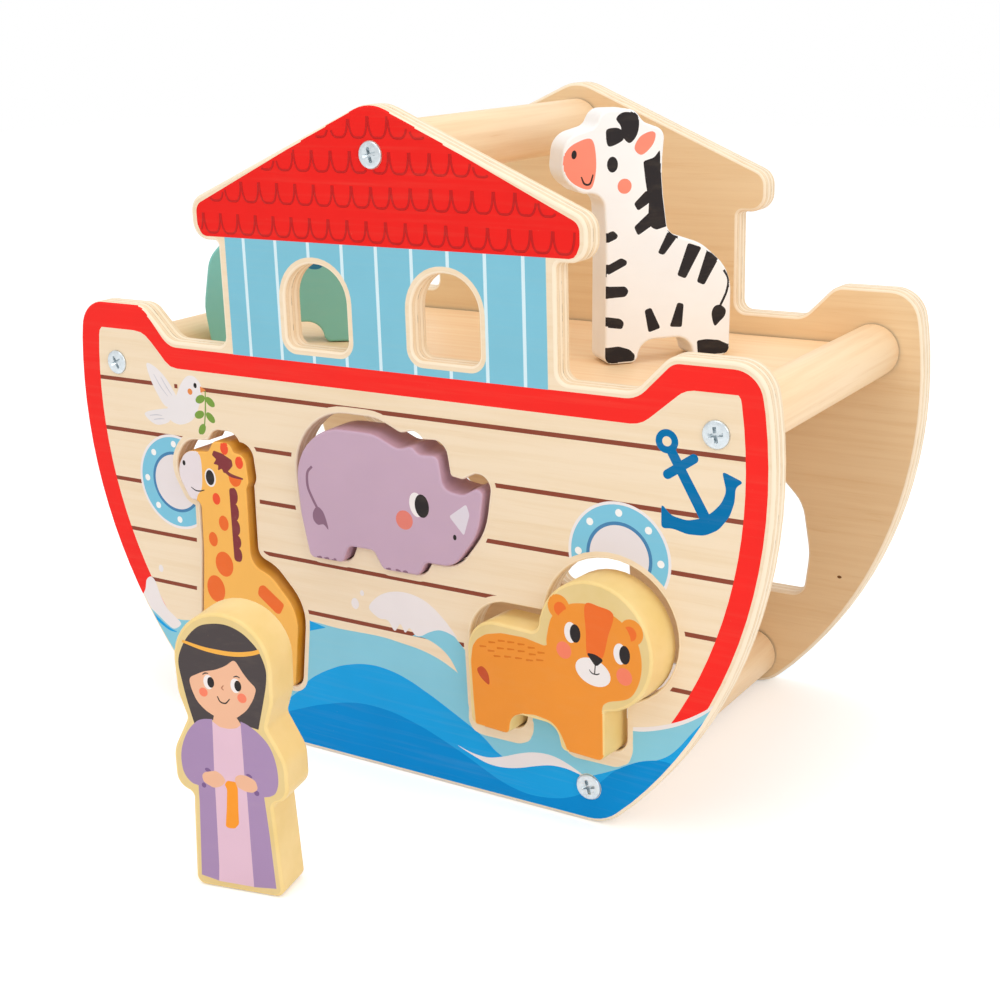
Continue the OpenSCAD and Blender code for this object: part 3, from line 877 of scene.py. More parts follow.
def dove():
    body = [(-101, 126.5), (-96.5, 131), (-93.5, 136), (-90, 139.6), (-86.3, 140), (-83.2, 137.2),
            (-83.3, 133.4), (-85.3, 128), (-89, 123), (-95, 120.7), (-100, 122)]
    wing = [(-109.6, 143), (-104.5, 141.3), (-99.2, 136.5), (-95.5, 129.5), (-101.5, 127), (-105.8, 132),
            (-108.8, 138)]
    tail = [(-113, 123.2), (-106, 125.4), (-99.5, 126), (-100.5, 121.4), (-106, 119.4), (-109.8, 120.1)]
    drawn = [("dove", smooth(tail)), ("dove", smooth(wing)), ("dove", smooth(body))]
    drawn += [("feather", ribbon(path, (0.3, 0.5, 0.2))) for path in (
        [(-106.5, 139), (-103.5, 134.5), (-100.2, 131)], [(-103, 138.3), (-100.4, 134.5), (-98, 131.6)],
        [(-110.5, 122.6), (-107, 123.2), (-104, 123.2)], [(-108.5, 121.2), (-105.5, 121.8), (-103, 122)])]
    drawn += [("beak", soft([(-83.6, 136.6), (-80.8, 135.3), (-83.6, 134)], 0.4)),
              ("black", oval(-86, 136.6, 0.8, 1)), ("beak", oval(-88.8, 134, 1.2)),
              ("leaf", ribbon([(-81.2, 135), (-81.8, 128), (-83, 121)], (0.5, 0.7, 0.5)))]
    leaves = [(-84, 131.6, 25), (-79.2, 131, -35), (-85, 125.6, 20), (-79.6, 125, -40), (-84.2, 120, 55)]
    return drawn + [("leaf", oval(s, z, 2.5, 1.5, turn)) for s, z, turn in leaves]


print("shapes in a porthole, the anchor and the dove:", len(porthole(0, 0)), len(anchor()), len(dove()))


# %% Water
def under(top, bottom=-5):
    """A wave: all that lies under a smooth line."""
    line = smooth(top, closed=False)
    return np.r_[line, [(line[-1][0], bottom), (line[0][0], bottom)]]


def water():
    light = [(-140, 60), (-124, 47), (-114, 42), (-104, 40.5), (-92, 43), (-70, 49), (-41, 51.8), (-25, 51.4),
             (-7, 51.8), (3.3, 51), (11.5, 50), (18.8, 48.1), (24.6, 45.6), (28, 43.6), (40, 36), (60, 34),
             (80, 35.5), (95, 38), (105.8, 40.5), (114.5, 44.5), (122, 49.4), (128, 55.5), (140, 70)]
    curl = np.r_[smooth([(27.2, 44), (24, 49.1), (19.8, 52.5), (14, 54.7), (8, 54.6)], closed=False),
                 [(13, 58), (20, 60.5), (26, 58), (31, 53), (35, 48.2), (40, 43), (46, 38.8), (54, 35),
                  (54, 28), (28, 38)]]
    middle = [(-140, 30), (-110, 20), (-80, 12), (-60, 13), (-47.5, 21), (-40.5, 27.8), (-35.5, 31.3),
              (-31.8, 33.4), (-25.6, 36.4), (-19.6, 38.3), (-14.2, 39.4), (-7.9, 39.8), (-0.6, 38.9),
              (6.1, 37), (12.5, 34.3), (19, 31.3), (35.5, 22.7), (42, 17.6), (47, 15.6), (51.7, 16.2),
              (58, 18.2), (64.6, 19.3), (71, 18.6), (77.5, 16.6), (84, 19), (92, 23), (100, 26.6),
              (107.8, 30.4), (112.6, 34.8), (117.4, 41.1), (122.1, 46.9), (128, 54.4)]
    deep = [(-140, 4), (-100, 3), (-75, 5), (-60, 9.4), (-47.9, 14.1), (-39, 17.6), (-32.2, 19.8),
            (-24.8, 21.9), (-17.6, 23.2), (-10.6, 23.5), (-2.6, 22.9), (3.6, 21.7), (11.8, 19.5), (18, 17.3),
            (28.5, 13.2), (41.6, 7.3), (50, 4.8), (58, 4.2), (68, 5.8), (76, 9.4), (83, 15), (89, 21),
            (95, 25), (101, 27.7), (108, 29), (116, 27), (130, 20)]
    cap = [(-10.6, 62), (-7.5, 66.2), (-3, 69), (2, 70.4), (7.4, 70.6), (13, 69.4), (17.6, 67), (22, 63.4),
           (25.6, 59.6), (29.5, 54.8), (36, 48), (30, 55.5), (25, 58.2), (20, 59), (15.5, 57.4), (12, 55.4),
           (9.4, 55.2), (7, 57.4), (5, 55.4), (3, 58.2), (0.4, 55.2), (-2.4, 58.6), (-6.5, 58.9)]
    swirl = [(25.8, 16.2), (32, 14.6), (38.6, 14.4), (45, 16.2), (51.8, 19), (58, 20.8), (64.6, 21.2),
             (71, 19.6), (77.5, 16.4), (71, 17.6), (64.5, 17.4), (58, 15.6), (51.6, 13.4), (45, 12),
             (38.5, 12), (32, 13.8)]
    left = [(-117.8, 56.2), (-120.4, 54.6), (-121.6, 50.5), (-123.5, 46.5), (-120, 43), (-115.2, 39.9),
            (-111.5, 37.4), (-107.8, 36), (-103.9, 38.8), (-107, 41.4), (-110.2, 43.6), (-112.4, 46.6),
            (-114, 49.8), (-115.7, 54.4)]
    shore = [(86, 37.6), (96.9, 38.3), (105.8, 40.7), (114.5, 44.6), (122, 49.6), (127, 54.2)]
    dip = soft([(-42, 52.7), (-42, 46.8), (-31, 50.6)], 0.6)
    shade = ribbon([(-120.5, 41.6), (-115, 37.8), (-110.5, 35.5), (-106.6, 34.8)], (1.2, 1.4, 1.2, 0.3))
    drops = ((-16.8, 62.6, 1.7, 2.1), (-13.4, 67.2, 0.9, 1.1), (-112, 60.6, 1.2, 1.5))
    return [("water", under(light)), ("mid water", dip), ("water", curl), ("mid water", under(middle)),
            ("deep water", under(deep)), ("foam", smooth(cap)), ("foam", smooth(swirl)), ("mid water", shade),
            ("foam", smooth(left)), ("foam", ribbon(shore, (1, 1.6, 1.4, 1.1, 0.6))),
            *(("foam", oval(*drop)) for drop in drops)]


def left_bare(node):
    """Bare places in the print: under the lion's feet in front, and between the holes at the back."""
    if node == "back_panel":
        return [(None, patch(-33, 73, -25, 78)), (None, patch(101, 110.5, 109.6, 120))]
    left = [(31.3, 33), (31, 27), (33, 23.7), (36.5, 22.7), (52, 22.7), (56, 24.6), (57.8, 28.6), (57.8, 33)]
    right = [(69.1, 34), (69.2, 28.5), (70.6, 24.4), (73.5, 22.7), (90, 22.7), (94.6, 25.2), (96.2, 29.6),
             (96.2, 34)]
    return [(None, soft(left, 1.5)), (None, soft(right, 1.5))]


print("shapes in the water:", len(water()))


# %% Red band and roof
def hull_reach(z, radius):
    """Half the width of the round hull at a height."""
    return HULL_MIDDLE[0] + math.sqrt(radius ** 2 - (z - HULL_MIDDLE[1]) ** 2)


def band_half(end, margin):
    """The red band's half at the bow (end 1) or stern (-1), along the edge to the middle and back inside."""
    on_sheer = hull_outline[:, 1] > SHEER_LOW
    close = np.where(on_sheer, np.interp(np.abs(hull_outline[:, 0]), SHEER_FADE, (0, 1)), 1)[:, None]
    edge = moved_in(hull_outline, margin) * close + moved_in(hull_outline, PRINT_MARGIN) * (1 - close)
    edge = (edge * (end, 1))[::end]
    edge = np.roll(edge, -np.argmin(np.abs(edge[:, 0]) + 1000 * (edge[:, 1] > 20)), 0)
    stop = next(i for i, (s, z) in enumerate(edge) if z > SHEER_LOW and s < SHEER_STOP)
    side = [(hull_reach(z, BAND_RADIUS), z) for z in np.arange(5, 153, 7.0)]
    inner = [(0, 5)] + side + BAND_INSIDE[end]
    return np.r_[edge[:stop], [(0, HOUSE_LOW), (0, inner[-1][1])], inner[::-1]] * (end, 1)


def roof():
    """The roof's print, which comes closer to the edge towards the ridge."""
    margin = ROOF_MARGIN + ROOF_LEAN * np.abs(hull_outline[:, :1])
    edge = hull_outline + mitres(hull_outline) * margin
    edge = edge[edge[:, 1] > EAVES_TOP]
    edge = np.roll(edge, -np.argmax(edge[:, 0] - edge[:, 1]), 0)
    eaves = [(74.6, HOUSE_HIGH), (76.2, 192.9), (77.2, 194)]
    return np.r_[eaves, edge, [(-s, z) for s, z in eaves[::-1]]]


# %% Both pictures
def side_picture(node):
    """All shapes of a side's print, the lowest first. A shape without ink shows bare wood."""
    drawn = []
    for shape in plank_lines:
        reach = hull_reach(shape[0, 1], PLANK_RADIUS)
        drawn.append(("plank", np.clip(shape, (-reach, 0), (reach, 300))))
    drawn += [(None, moved_in(stepped(loop), PLANK_STOP)) for loop in faces[node]["loops"][1:]
              if not is_screw_hole(loop) and loop[:, 1].min() < SHEER_LOW]
    drawn += [("red", band_half(1, PRINT_MARGIN)), ("red", band_half(-1, STERN_MARGIN)),
              (None, patch(-104.5, 133.5, -96.5, 137.5)), (None, patch(-94.9, 133.5, -91, 137.5))]
    drawn += porthole(-99.6, 97.5) + (porthole(91.4, 97.4) if node == "front_panel" else [])
    drawn += anchor() + dove() + water() + left_bare(node)
    drawn += [("house", patch(-66.1, HOUSE_LOW, 66.1, HOUSE_HIGH))]
    return drawn + [("board line", shape) for shape in board_lines] + [("roof", roof())]


front_picture, back_picture = side_picture("front_panel"), side_picture("back_panel")
print("shapes in the two pictures:", len(front_picture), len(back_picture))

# %% [markdown]
# ## The two sides
# Both sides are the same board with their own holes. The inner faces are left as bare plywood, and a
# small dark knot shows low down on the back one.

# %% Side panels
PANEL_SANDS = (1.2, 0.8)
PANEL_RIMS = (1.25, 2.3)
front_side = board("front_side", "front_panel", PANEL_SANDS, PANEL_RIMS, front_picture, [],
                   [front_edge, ply_face, ply_inside, panel_ink], PANEL_INK, ("red", "roof"))
knots = [("knot", oval(-115, 51, 0.9, 0.6))]
back_side = board("back_side", "back_panel", PANEL_SANDS, PANEL_RIMS, back_picture, knots,
                  [back_edge, ply_face, ply_inside, panel_ink], PANEL_INK, ("red", "roof"))
for piece, node in ((front_side, "front_panel"), (back_side, "back_panel")):
    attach(piece, "ark")
    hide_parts(node)

# %% [markdown]
# ## Roof tiles
# The roof's rows of round tiles are drawn as thin dark lines that taper off at their upper ends. One
# U-shaped curve is set on a grid of points, with the lowest row a third of a tile aside. Points outside
# the roof or under its screw are taken away before the curves get their thickness, and the lines are
# pressed almost flat.

# %% Tile line tree
TILES_ACROSS, TILE_ROWS, TILE_POINTS = 23, 5, 22
tile_tree, given, out = new_group(
    "tile_lines", GEOMETRY,
    [("Tile width", VALUE, 8.0 * MM), ("Tile height", VALUE, 6.9 * MM), ("Row step", VALUE, 11.4 * MM),
     ("Lowest", VALUE, 193.8 * MM), ("Line radius", VALUE, 0.46 * MM), ("Ridge", VALUE, 238.2 * MM),
     ("Slope", VALUE, 0.45), ("Half width", VALUE, 76.9 * MM), ("Aside", VALUE, 3.4 * MM),
     ("Face", VALUE, 0.0), ("Screw height", VALUE, 0.0), ("Screw radius", VALUE, 5.0 * MM),
     ("Material", MATERIAL, None)],
    [("Geometry", SHAPE)])
sums = partial(maths, tile_tree)


def joined(tree, x, y, z):
    return add(tree, "ShaderNodeCombineXYZ", {0: x, 1: y, 2: z}).outputs[0]


def point(tree):
    """The x, y and z of each point where the tree uses them."""
    place = tree.nodes.new("GeometryNodeInputPosition").outputs[0]
    return add(tree, "ShaderNodeSeparateXYZ", {0: place}).outputs


def placed(tree, shape, x, y, z):
    values = {"Geometry": shape, "Position": joined(tree, x, y, z)}
    return add(tree, "GeometryNodeSetPosition", values).outputs[0]


# %% Rows of tiles
grid = add(tile_tree, "GeometryNodeMeshGrid", {
    "Size X": sums("MULTIPLY", given["Tile width"], TILES_ACROSS - 1.0),
    "Size Y": sums("MULTIPLY", given["Row step"], TILE_ROWS - 1.0),
    "Vertices X": TILES_ACROSS, "Vertices Y": TILE_ROWS})
x, y, z = point(tile_tree)
row_number = sums("ROUND", sums("ADD", sums("DIVIDE", y, given["Row step"]), (TILE_ROWS - 1) / 2))
lowest_row = sums("LESS_THAN", row_number, 0.5)
third = sums("MULTIPLY", lowest_row, sums("MULTIPLY", given["Tile width"], 0.32))
shift = sums("SUBTRACT", given["Aside"], third)
height = sums("ADD", given["Lowest"], sums("MULTIPLY", row_number, given["Row step"]))
rows = placed(tile_tree, grid.outputs[0], sums("ADD", x, shift), 0.0, height)

straight = tile_tree.nodes.new("GeometryNodeCurvePrimitiveLine").outputs[0]
line = add(tile_tree, "GeometryNodeResampleCurve", {"Curve": straight, "Count": TILE_POINTS})
factor = tile_tree.nodes.new("GeometryNodeSplineParameter").outputs["Factor"]
angle = sums("MULTIPLY", factor, math.pi)
cosine = sums("COSINE", angle)
swing = sums("MULTIPLY", sums("SIGN", cosine), sums("POWER", sums("ABSOLUTE", cosine), 0.55))
tile = placed(
    tile_tree, line.outputs[0], sums("MULTIPLY", swing, sums("MULTIPLY", given["Tile width"], -0.47)), 0.0,
    sums("MULTIPLY", sums("SUBTRACT", 1.0, sums("SINE", angle)), given["Tile height"]))
tapered = add(tile_tree, "GeometryNodeSetCurveRadius", {
    "Curve": tile, "Radius": spread(tile_tree, sums("SINE", angle), 0.0, 0.55, 0.3, 1.0)})
tiles = add(tile_tree, "GeometryNodeInstanceOnPoints", {"Points": rows, "Instance": tapered.outputs[0]})
real = add(tile_tree, "GeometryNodeRealizeInstances", {0: tiles.outputs[0]})
print("tiles set out on", TILE_ROWS, "rows of", TILES_ACROSS)

# %% Tile lines inside the roof
FLATNESS = 0.2
x, y, z = point(tile_tree)
aside = sums("ABSOLUTE", x)
roof_top = sums("SUBTRACT", given["Ridge"], sums("MULTIPLY", aside, given["Slope"]))
outside = sums("MAXIMUM", sums("GREATER_THAN", z, roof_top), sums("GREATER_THAN", aside, given["Half width"]))
from_screw = joined(tile_tree, x, 0.0, sums("SUBTRACT", z, given["Screw height"]))
from_screw = add(tile_tree, "ShaderNodeVectorMath", {0: from_screw}, operation="LENGTH").outputs["Value"]
outside = sums("MAXIMUM", outside, sums("LESS_THAN", from_screw, given["Screw radius"]))
inside = add(tile_tree, "GeometryNodeDeleteGeometry", {
    "Geometry": real.outputs[0], "Selection": outside}, domain="POINT")
thin = add(tile_tree, "GeometryNodeCurvePrimitiveCircle", {"Resolution": 6, "Radius": given["Line radius"]})
tubes = add(tile_tree, "GeometryNodeCurveToMesh", {
    "Curve": inside.outputs[0], "Profile Curve": thin.outputs[0], "Fill Caps": True})
x, y, z = point(tile_tree)
pressed = sums("ADD", given["Face"], sums("MULTIPLY", y, FLATNESS))
end_tree(tile_tree, placed(tile_tree, tubes.outputs[0], x, pressed, z), given["Material"], out)

tile_ink = finish("dark_red_line", ink_skin, {"Ink": linear("#C31B19")}, 0.05, gloss=0.15)
ridge_low, ridge_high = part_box("ridge_dowel")
screw_height = (ridge_low.z + ridge_high.z) / 2
for name, face_y in (("front_tile_lines", front_low.y), ("back_tile_lines", back_high.y)):
    tile_lines = grown(name, tile_tree, {"Face": face_y, "Screw height": screw_height, "Material": tile_ink})
    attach(tile_lines, "ark")
    print(name, "faces", len(tile_lines.data.polygons))

# %% [markdown]
# ## Dowels and deck
# Five turned dowels hold the sides apart. Their ends are slightly eased, and the eased rings are
# dark brown: a painted shade line where a dowel meets the panel. The deck is a plain board with
# eased edges, and its long edges against the panels carry the same painted shade.


# %% Turned wood
def turned(profile, count):
    """Corners and faces of a profile of (radius, place) turned about the Y axis, open at both ends."""
    corners, polygons = [], []
    for radius, y in profile:
        corners += [(radius * math.cos(a), y, radius * math.sin(a)) for a in turns(count)]
    for first in range(0, len(corners) - count, count):
        for i in range(count):
            j = (i + 1) % count
            polygons.append((first + i, first + count + i, first + count + j, first + j))
    return corners, polygons


def mesh_piece(name, corners, polygons, materials, slots, sharp=35):
    mesh = bpy.data.meshes.new(name)
    mesh.from_pydata(corners, [], polygons)
    mesh.polygons.foreach_set("material_index", slots)
    with edited(mesh) as work:
        bmesh.ops.recalc_face_normals(work, faces=work.faces[:])
    for material in materials:
        mesh.materials.append(material)
    mesh.shade_smooth()
    mesh.set_sharp_from_angle(angle=math.radians(sharp))
    return linked(name, mesh)


EASE, DOWEL_POINTS = 0.8 * MM, 64
# Dark brown wood as painted shade: the thin shade line where dowels and deck meet the panels.
painted_joint_shade = wood("painted_joint_shade", "#40240F", "#2E180A", (300, 300, 300))
for name, node in (("ridge_rod", "ridge_dowel"), ("bow_rod", "bow_dowel"), ("stern_rod", "stern_dowel"),
                   ("keel_bow_rod", "keel_bow_dowel"), ("keel_stern_rod", "keel_stern_dowel")):
    low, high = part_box(node)
    middle, radius = (low + high) / 2, (high.x - low.x) / 2
    profile = [(radius - EASE, low.y), (radius - EASE * 0.3, low.y + EASE * 0.3), (radius, low.y + EASE),
               (radius, high.y - EASE), (radius - EASE * 0.3, high.y - EASE * 0.3), (radius - EASE, high.y)]
    corners, polygons = turned(profile, DOWEL_POINTS)
    ends = [tuple(range(DOWEL_POINTS)), tuple(range(len(corners) - DOWEL_POINTS, len(corners)))]
    corners = [(x + middle.x, y, z + middle.z) for x, y, z in corners]
    # The eased rings at both ends take the painted shade, and the middle band stays plain wood.
    in_painted_shade = [0 if i // DOWEL_POINTS == 2 else 1 for i in range(len(polygons))]
    rod = mesh_piece(name, corners, polygons + ends, (dowel_wood, painted_joint_shade), in_painted_shade + [0, 0])
    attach(rod, "ark")
    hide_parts(node)
print("dowel radius in mm:", round(radius / MM, 2))

# %% Deck
DECK_EASE = 1.0 * MM
low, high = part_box("deck_board")
deck_mesh = bpy.data.meshes.new("deck_plank")
with edited(deck_mesh) as work:
    bmesh.ops.create_cube(work, size=1)
    for v in work.verts:
        v.co = [high[i] if v.co[i] > 0 else low[i] for i in range(3)]
    bmesh.ops.bevel(work, geom=work.edges[:], offset=DECK_EASE, segments=3, profile=0.5, affect="EDGES")
deck_mesh.materials.append(deck_wood)
deck_mesh.materials.append(painted_joint_shade)
# The long eased edges against the panels take the painted shade.
for polygon in deck_mesh.polygons:
    if abs(polygon.normal.y) > 0.1 and abs(polygon.normal.z) > 0.1:
        polygon.material_index = 1
deck = linked("deck_plank", deck_mesh)
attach(deck, "ark")
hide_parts("deck_board")
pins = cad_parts["deck_pins"].data
pins.materials.clear()
pins.materials.append(dowel_wood)
print("deck in mm:", [round(v / MM, 1) for v in high - low])

# %% [markdown]
# ## Screws
# Ten zinc plated screws hold the dowels. One screw is modelled with a cross recess whose walls slope
# inwards, and a Geometry Nodes tree sets it on every place, each turned by its own chance angle,
# as a screwdriver leaves them.

# %% Zinc
zinc, given, out = new_group("zinc_plating", SHADER, [("Metal", COLOUR, linear("#D0D8DC"))], SKIN)
where, ramp = object_place(zinc), partial(spread, zinc)
blotches, scuffs = noise(zinc, where, 700.0, 3.0), noise(zinc, where, 3500.0, 2.0)
finish_group(
    zinc, out,
    Color=tinted(zinc, given["Metal"], Value=ramp(blotches, 0.3, 0.7, 0.86, 1.08)),
    Roughness=ramp(blotches, 0.3, 0.7, 0.24, 0.42), Height=scuffs)
zinc_finish = finish("zinc_plated_steel", zinc, {}, 0.15, metallic=1.0)
print("finish:", zinc_finish.name)

# %% One screw
HEAD, RISE, SHANK, LENGTH, TIP = 4.6, 0.8, 2.0, 34.0, 4
RECESS_LONG, RECESS_WIDE, RECESS_DEEP = 2.6, 0.62, 1.45
SCREW_POINTS, SCREW_SHARP = 40, 32


def cross(long, wide):
    corner = [(wide, wide), (wide, long), (-wide, long)]
    points = [(s * math.cos(a) - z * math.sin(a), s * math.sin(a) + z * math.cos(a))
              for a in np.arange(4) * math.pi / 2 for s, z in corner]
    return soft(points, 0.16)


profile = [(3.9, -RISE), (4.3, -RISE * 0.88), (4.53, -RISE * 0.6), (HEAD, -RISE * 0.3), (HEAD, 0),
           (SHANK, COUNTERSINK), (SHANK, LENGTH - TIP), (0.3, LENGTH)]
corners, polygons = turned(profile, SCREW_POINTS)
polygons.append(tuple(range(len(corners) - SCREW_POINTS, len(corners))))
rim = [(x, z) for x, y, z in corners[:SCREW_POINTS]]
mouth, bottom = cross(RECESS_LONG, RECESS_WIDE), cross(RECESS_LONG * 0.62, RECESS_WIDE * 0.6)
at, cells, owners = cells_of([rim, mouth])
start = len(corners)
corners += [(s, -RISE, z) for s, z in at]
polygons += [tuple(start + i for i in cell) for cell, owner in zip(cells, owners) if 1 not in owner]
start, count = len(corners), len(mouth)
corners += [(s, -RISE, z) for s, z in mouth] + [(s, -RISE + RECESS_DEEP, z) for s, z in bottom]
for i in range(count):
    j = (i + 1) % count
    polygons.append((start + i, start + j, start + count + j, start + count + i))
polygons.append(tuple(range(start + count, start + 2 * count)))
screw_mesh = bpy.data.meshes.new("screw")
screw_mesh.from_pydata([tuple(v * MM for v in corner) for corner in corners], [], polygons)
with edited(screw_mesh) as work:
    bmesh.ops.remove_doubles(work, verts=work.verts[:], dist=SAME_POINT)
    bmesh.ops.recalc_face_normals(work, faces=work.faces[:])
    print("screw: faces", len(work.faces), "open edges", sum(not e.is_manifold for e in work.edges))
screw_mesh.shade_smooth()
screw_mesh.set_sharp_from_angle(angle=math.radians(SCREW_SHARP))
screw = linked("screw", screw_mesh)

# %% Screws in place
SCREW_SEED = 3
screw_tree, given, out = new_group(
    "screws_on_places", GEOMETRY,
    [("Geometry", SHAPE, None), ("Screw", "NodeSocketObject", None), ("Facing", VALUE, 0.0),
     ("Seed", WHOLE, SCREW_SEED), ("Material", MATERIAL, None)], [("Geometry", SHAPE)])
chance = add(screw_tree, "FunctionNodeRandomValue", {2: 0.0, 3: math.pi / 2, 8: given["Seed"]},
             data_type="FLOAT").outputs[1]
info = add(screw_tree, "GeometryNodeObjectInfo", {"Object": given["Screw"]})
turned_screws = add(screw_tree, "GeometryNodeInstanceOnPoints", {
    "Points": given["Geometry"], "Instance": info.outputs["Geometry"],
    "Rotation": joined(screw_tree, 0.0, chance, given["Facing"])})
end_tree(screw_tree, turned_screws.outputs[0], given["Material"], out)

for name, node, panel, facing in (("front_screw_set", "front_screws", "front_panel", 0.0),
                                  ("back_screw_set", "back_screws", "back_panel", math.pi)):
    face = faces[panel]
    spots = [middle_of(loop) for loop in face["loops"] if is_screw_hole(loop)]
    points = bpy.data.meshes.new(name)
    points.from_pydata([face["corner"] + MM * (face["along"] * s + np.array((0, 0, z))) for s, z in spots],
                       [], [])
    screw_set = grown(name, screw_tree, {
        "Screw": screw, "Facing": facing, "Seed": SCREW_SEED, "Material": zinc_finish}, points)
    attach(screw_set, "ark")
    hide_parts(node)
    print(name, len(spots), "screws", len(screw_set.data.polygons), "faces")
bpy.data.objects.remove(screw)

# %% [markdown]
# ## The figures
# Each figure is a thick board with a plain painted edge and a print on both faces. Lion and woman keep
# a broad cream rim, while the others are printed over the whole face. Spots, stripes,
# manes and simple dot-eyed faces are drawn with the same few shapes.

# %% Figure colours
FIGURE_INK = {"black": "#2A2526", "white": "#F1E9E6", "cheek": "#F58264", "giraffe": "#F8B95B",
              "spot": "#EE6D2D", "red spot": "#F0522F", "mane": "#83363A", "snout": "#E8DCDE",
              "rhino": "#C6A7BA", "rhino dark": "#8D6A7E", "rhino cheek": "#E37F70", "horn": "#DFD5DD",
              "lion": "#EF9436", "fur": "#DC7720", "stripe": "#EE702D", "tail": "#C5502B", "zebra": "#F8F6F4",
              "muzzle": "#FF8F77", "elephant": "#86CCC4", "ear": "#2F7FA8", "crease": "#62A190",
              "nose": "#B5765A", "hair": "#4C4444", "gold": "#F3B04C", "skin": "#EEB896", "robe": "#A98CB2",
              "cuff": "#7D5F8D", "dress": "#E4BFCF", "sash": "#F99B2E"}


def eye(s, z, wide, high, look=0.0, white=1.25):
    """A white oval with a black one in it that looks aside."""
    return [("white", oval(s - look, z, wide * white, high * white * 0.94)),
            ("black", oval(s, z, wide, high))]


def smile(points, wide=0.5):
    return [("black", ribbon(points, (wide * 0.7, wide, wide, wide * 0.7)))]


print("figure inks:", len(FIGURE_INK))

# %% Giraffe
giraffe = [("giraffe", patch(-60, -5, 60, 120)),
           ("snout", smooth([(-17.2, 88), (-14.9, 85.4), (-14.7, 79), (-15.5, 73.2), (-17.8, 70.2),
                             (-18.7, 68), (-22, 62), (-34, 62), (-36, 78), (-32, 92), (-21, 92)])),
           ("black", oval(-23.4, 82.2, 0.75, 1.05))]
giraffe += smile([(-20.8, 73), (-18.6, 72), (-16.4, 72), (-14.2, 72.7)])
giraffe += eye(-10.8, 78, 2.1, 2.95, -0.1, 1.3)
giraffe += [("spot", oval(*spot))
            for spot in ((-5.8, 60.8, 2.4, 3), (-11.7, 53.6, 2.2, 2.9), (-7.1, 44.3, 4.4, 5),
                         (-12.3, 33.6, 4.5, 5.4), (2.5, 26, 4.4, 4), (-13, 18, 3.4, 4.2), (14.5, 17, 4, 3.6),
                         (-9, 7.5, 2.4, 2.8), (19, 7, 2.6, 2.9), (-16.6, 9, 1.6, 2.2))]
giraffe += [("spot", soft([(9.4, 38.2), (11.8, 39.2), (21.2, 32.8), (18.8, 28.8), (17, 28.6), (8.4, 34.7)],
                          1.2)),
            ("red spot", oval(-8.5, 70, 1.9, 2.3)), ("red spot", oval(-2.7, 90.2, 1.9, 2.4)),
            ("red spot", oval(4.1, 85.6, 1.9, 2.4)), ("mane", bar((-0.5, 74), (-0.4, 47.9), 2.6, 3))]
giraffe += [("mane", oval(0.4, z, 1.8, high))
            for z, high in ((72.3, 3.2), (66.1, 3.3), (59.9, 3), (54.4, 2.6), (49.2, 2.8))]
giraffe += [("spot", soft([(-1.8, 80.4), (5, 79.4), (3.5, 76.6), (0.9, 75.8), (-1.1, 77.3)], 1.2)),
            ("mane", ribbon([(-3, 81.6), (-0.2, 80.2), (5.4, 79.5)], (1.5, 1.4, 0.7))),
            ("mane", soft([(-8, 88.9), (-4, 88.2), (0.6, 86.2), (0.9, 84), (-1.6, 81.6), (-3.8, 80.6),
                           (-4.6, 82.3), (-6.6, 81.3), (-6.2, 83.4), (-8.6, 83.6), (-7, 85.6), (-9, 87)],
                          0.6))]
print("giraffe: shapes", len(giraffe))

# %% Rhino
rhino = [("rhino", patch(-60, -5, 60, 70)),
         ("rhino dark", ribbon([(-31.6, 34.6), (-33.8, 32), (-34, 27), (-32.3, 22.8), (-30.2, 19)],
                               (0.9, 1.1, 1.1, 1.1))),
         ("rhino dark", smooth([(-32.3, 17.6), (-30.4, 19.8), (-28.2, 18.6), (-26.8, 15.6), (-26, 11.8),
                                (-28, 13.4), (-30.6, 13), (-32.4, 14.8)]))]
rhino += [("white", oval(12.2, 26, 2.9, 4.4, 8)), ("black", oval(14.4, 25.8, 2.9, 4.2, 4)),
          ("rhino cheek", oval(6.9, 19.8, 3.5)), ("black", oval(27.3, 16.3, 0.7, 1)),
          ("horn", soft([(25.3, 23.6), (32.3, 28.8), (33.5, 25.2), (31, 17.4)], 1))]
rhino += [("rhino dark", oval(s, 0.35, 1.1, 0.9)) for s in (-30.4, -27.2, -23.9, -0.4, 3, 6.4)]
print("rhino: shapes", len(rhino))

# %% Lion
lion = [("lion", soft([(-34.6, 0.6), (-19.8, 0.4), (-19.2, 5.2), (-17.4, 8), (-14.3, 9.4), (-9, 10.3),
                       (-2.8, 9.7), (-0.3, 8.3), (1.6, 6), (3.3, 2.7), (4.3, 0.4), (18.3, 0.4), (18.2, 19),
                       (18.7, 20.8), (20.6, 22.3), (25.4, 24), (20, 40), (0, 40), (-4.1, 36.3), (-12.8, 37.5),
                       (-22.4, 37), (-29, 35.2), (-32.8, 32.6), (-34.9, 29.6), (-35.8, 23.9), (-35.3, 12)],
                      1.2)),
        ("lion", smooth([(-3.4, 36.7), (-3, 41.8), (-1.3, 47.2), (2.2, 50.8), (7.3, 53.7), (15.1, 54.7),
                         (20.9, 53.4), (26.5, 50.8), (31.2, 46.9), (33.4, 40), (32.9, 33), (30, 26.8),
                         (25.4, 23.9), (18, 22.6), (8, 25), (0, 30)]))]
for s, z, inner in ((1.6, 51.3, 0.6), (29.7, 48.4, -0.6)):
    lion += [("lion", oval(s, z, 4.4)), ("stripe", oval(s + inner, z - 0.6, 2.5))]
lion += [("lion", oval(15, 45, 14.5, 9)),
         ("stripe", smooth([(12, 54.3), (17.4, 54.7), (22.9, 53), (20.8, 45), (18.7, 37.4), (15.6, 36.6),
                            (12.6, 37), (12.2, 45)]))]
lion += eye(8, 43.4, 2.1, 3.2, 1.8, 1.2) + eye(27.1, 40.1, 2.05, 3.2, 1.8, 1.2)
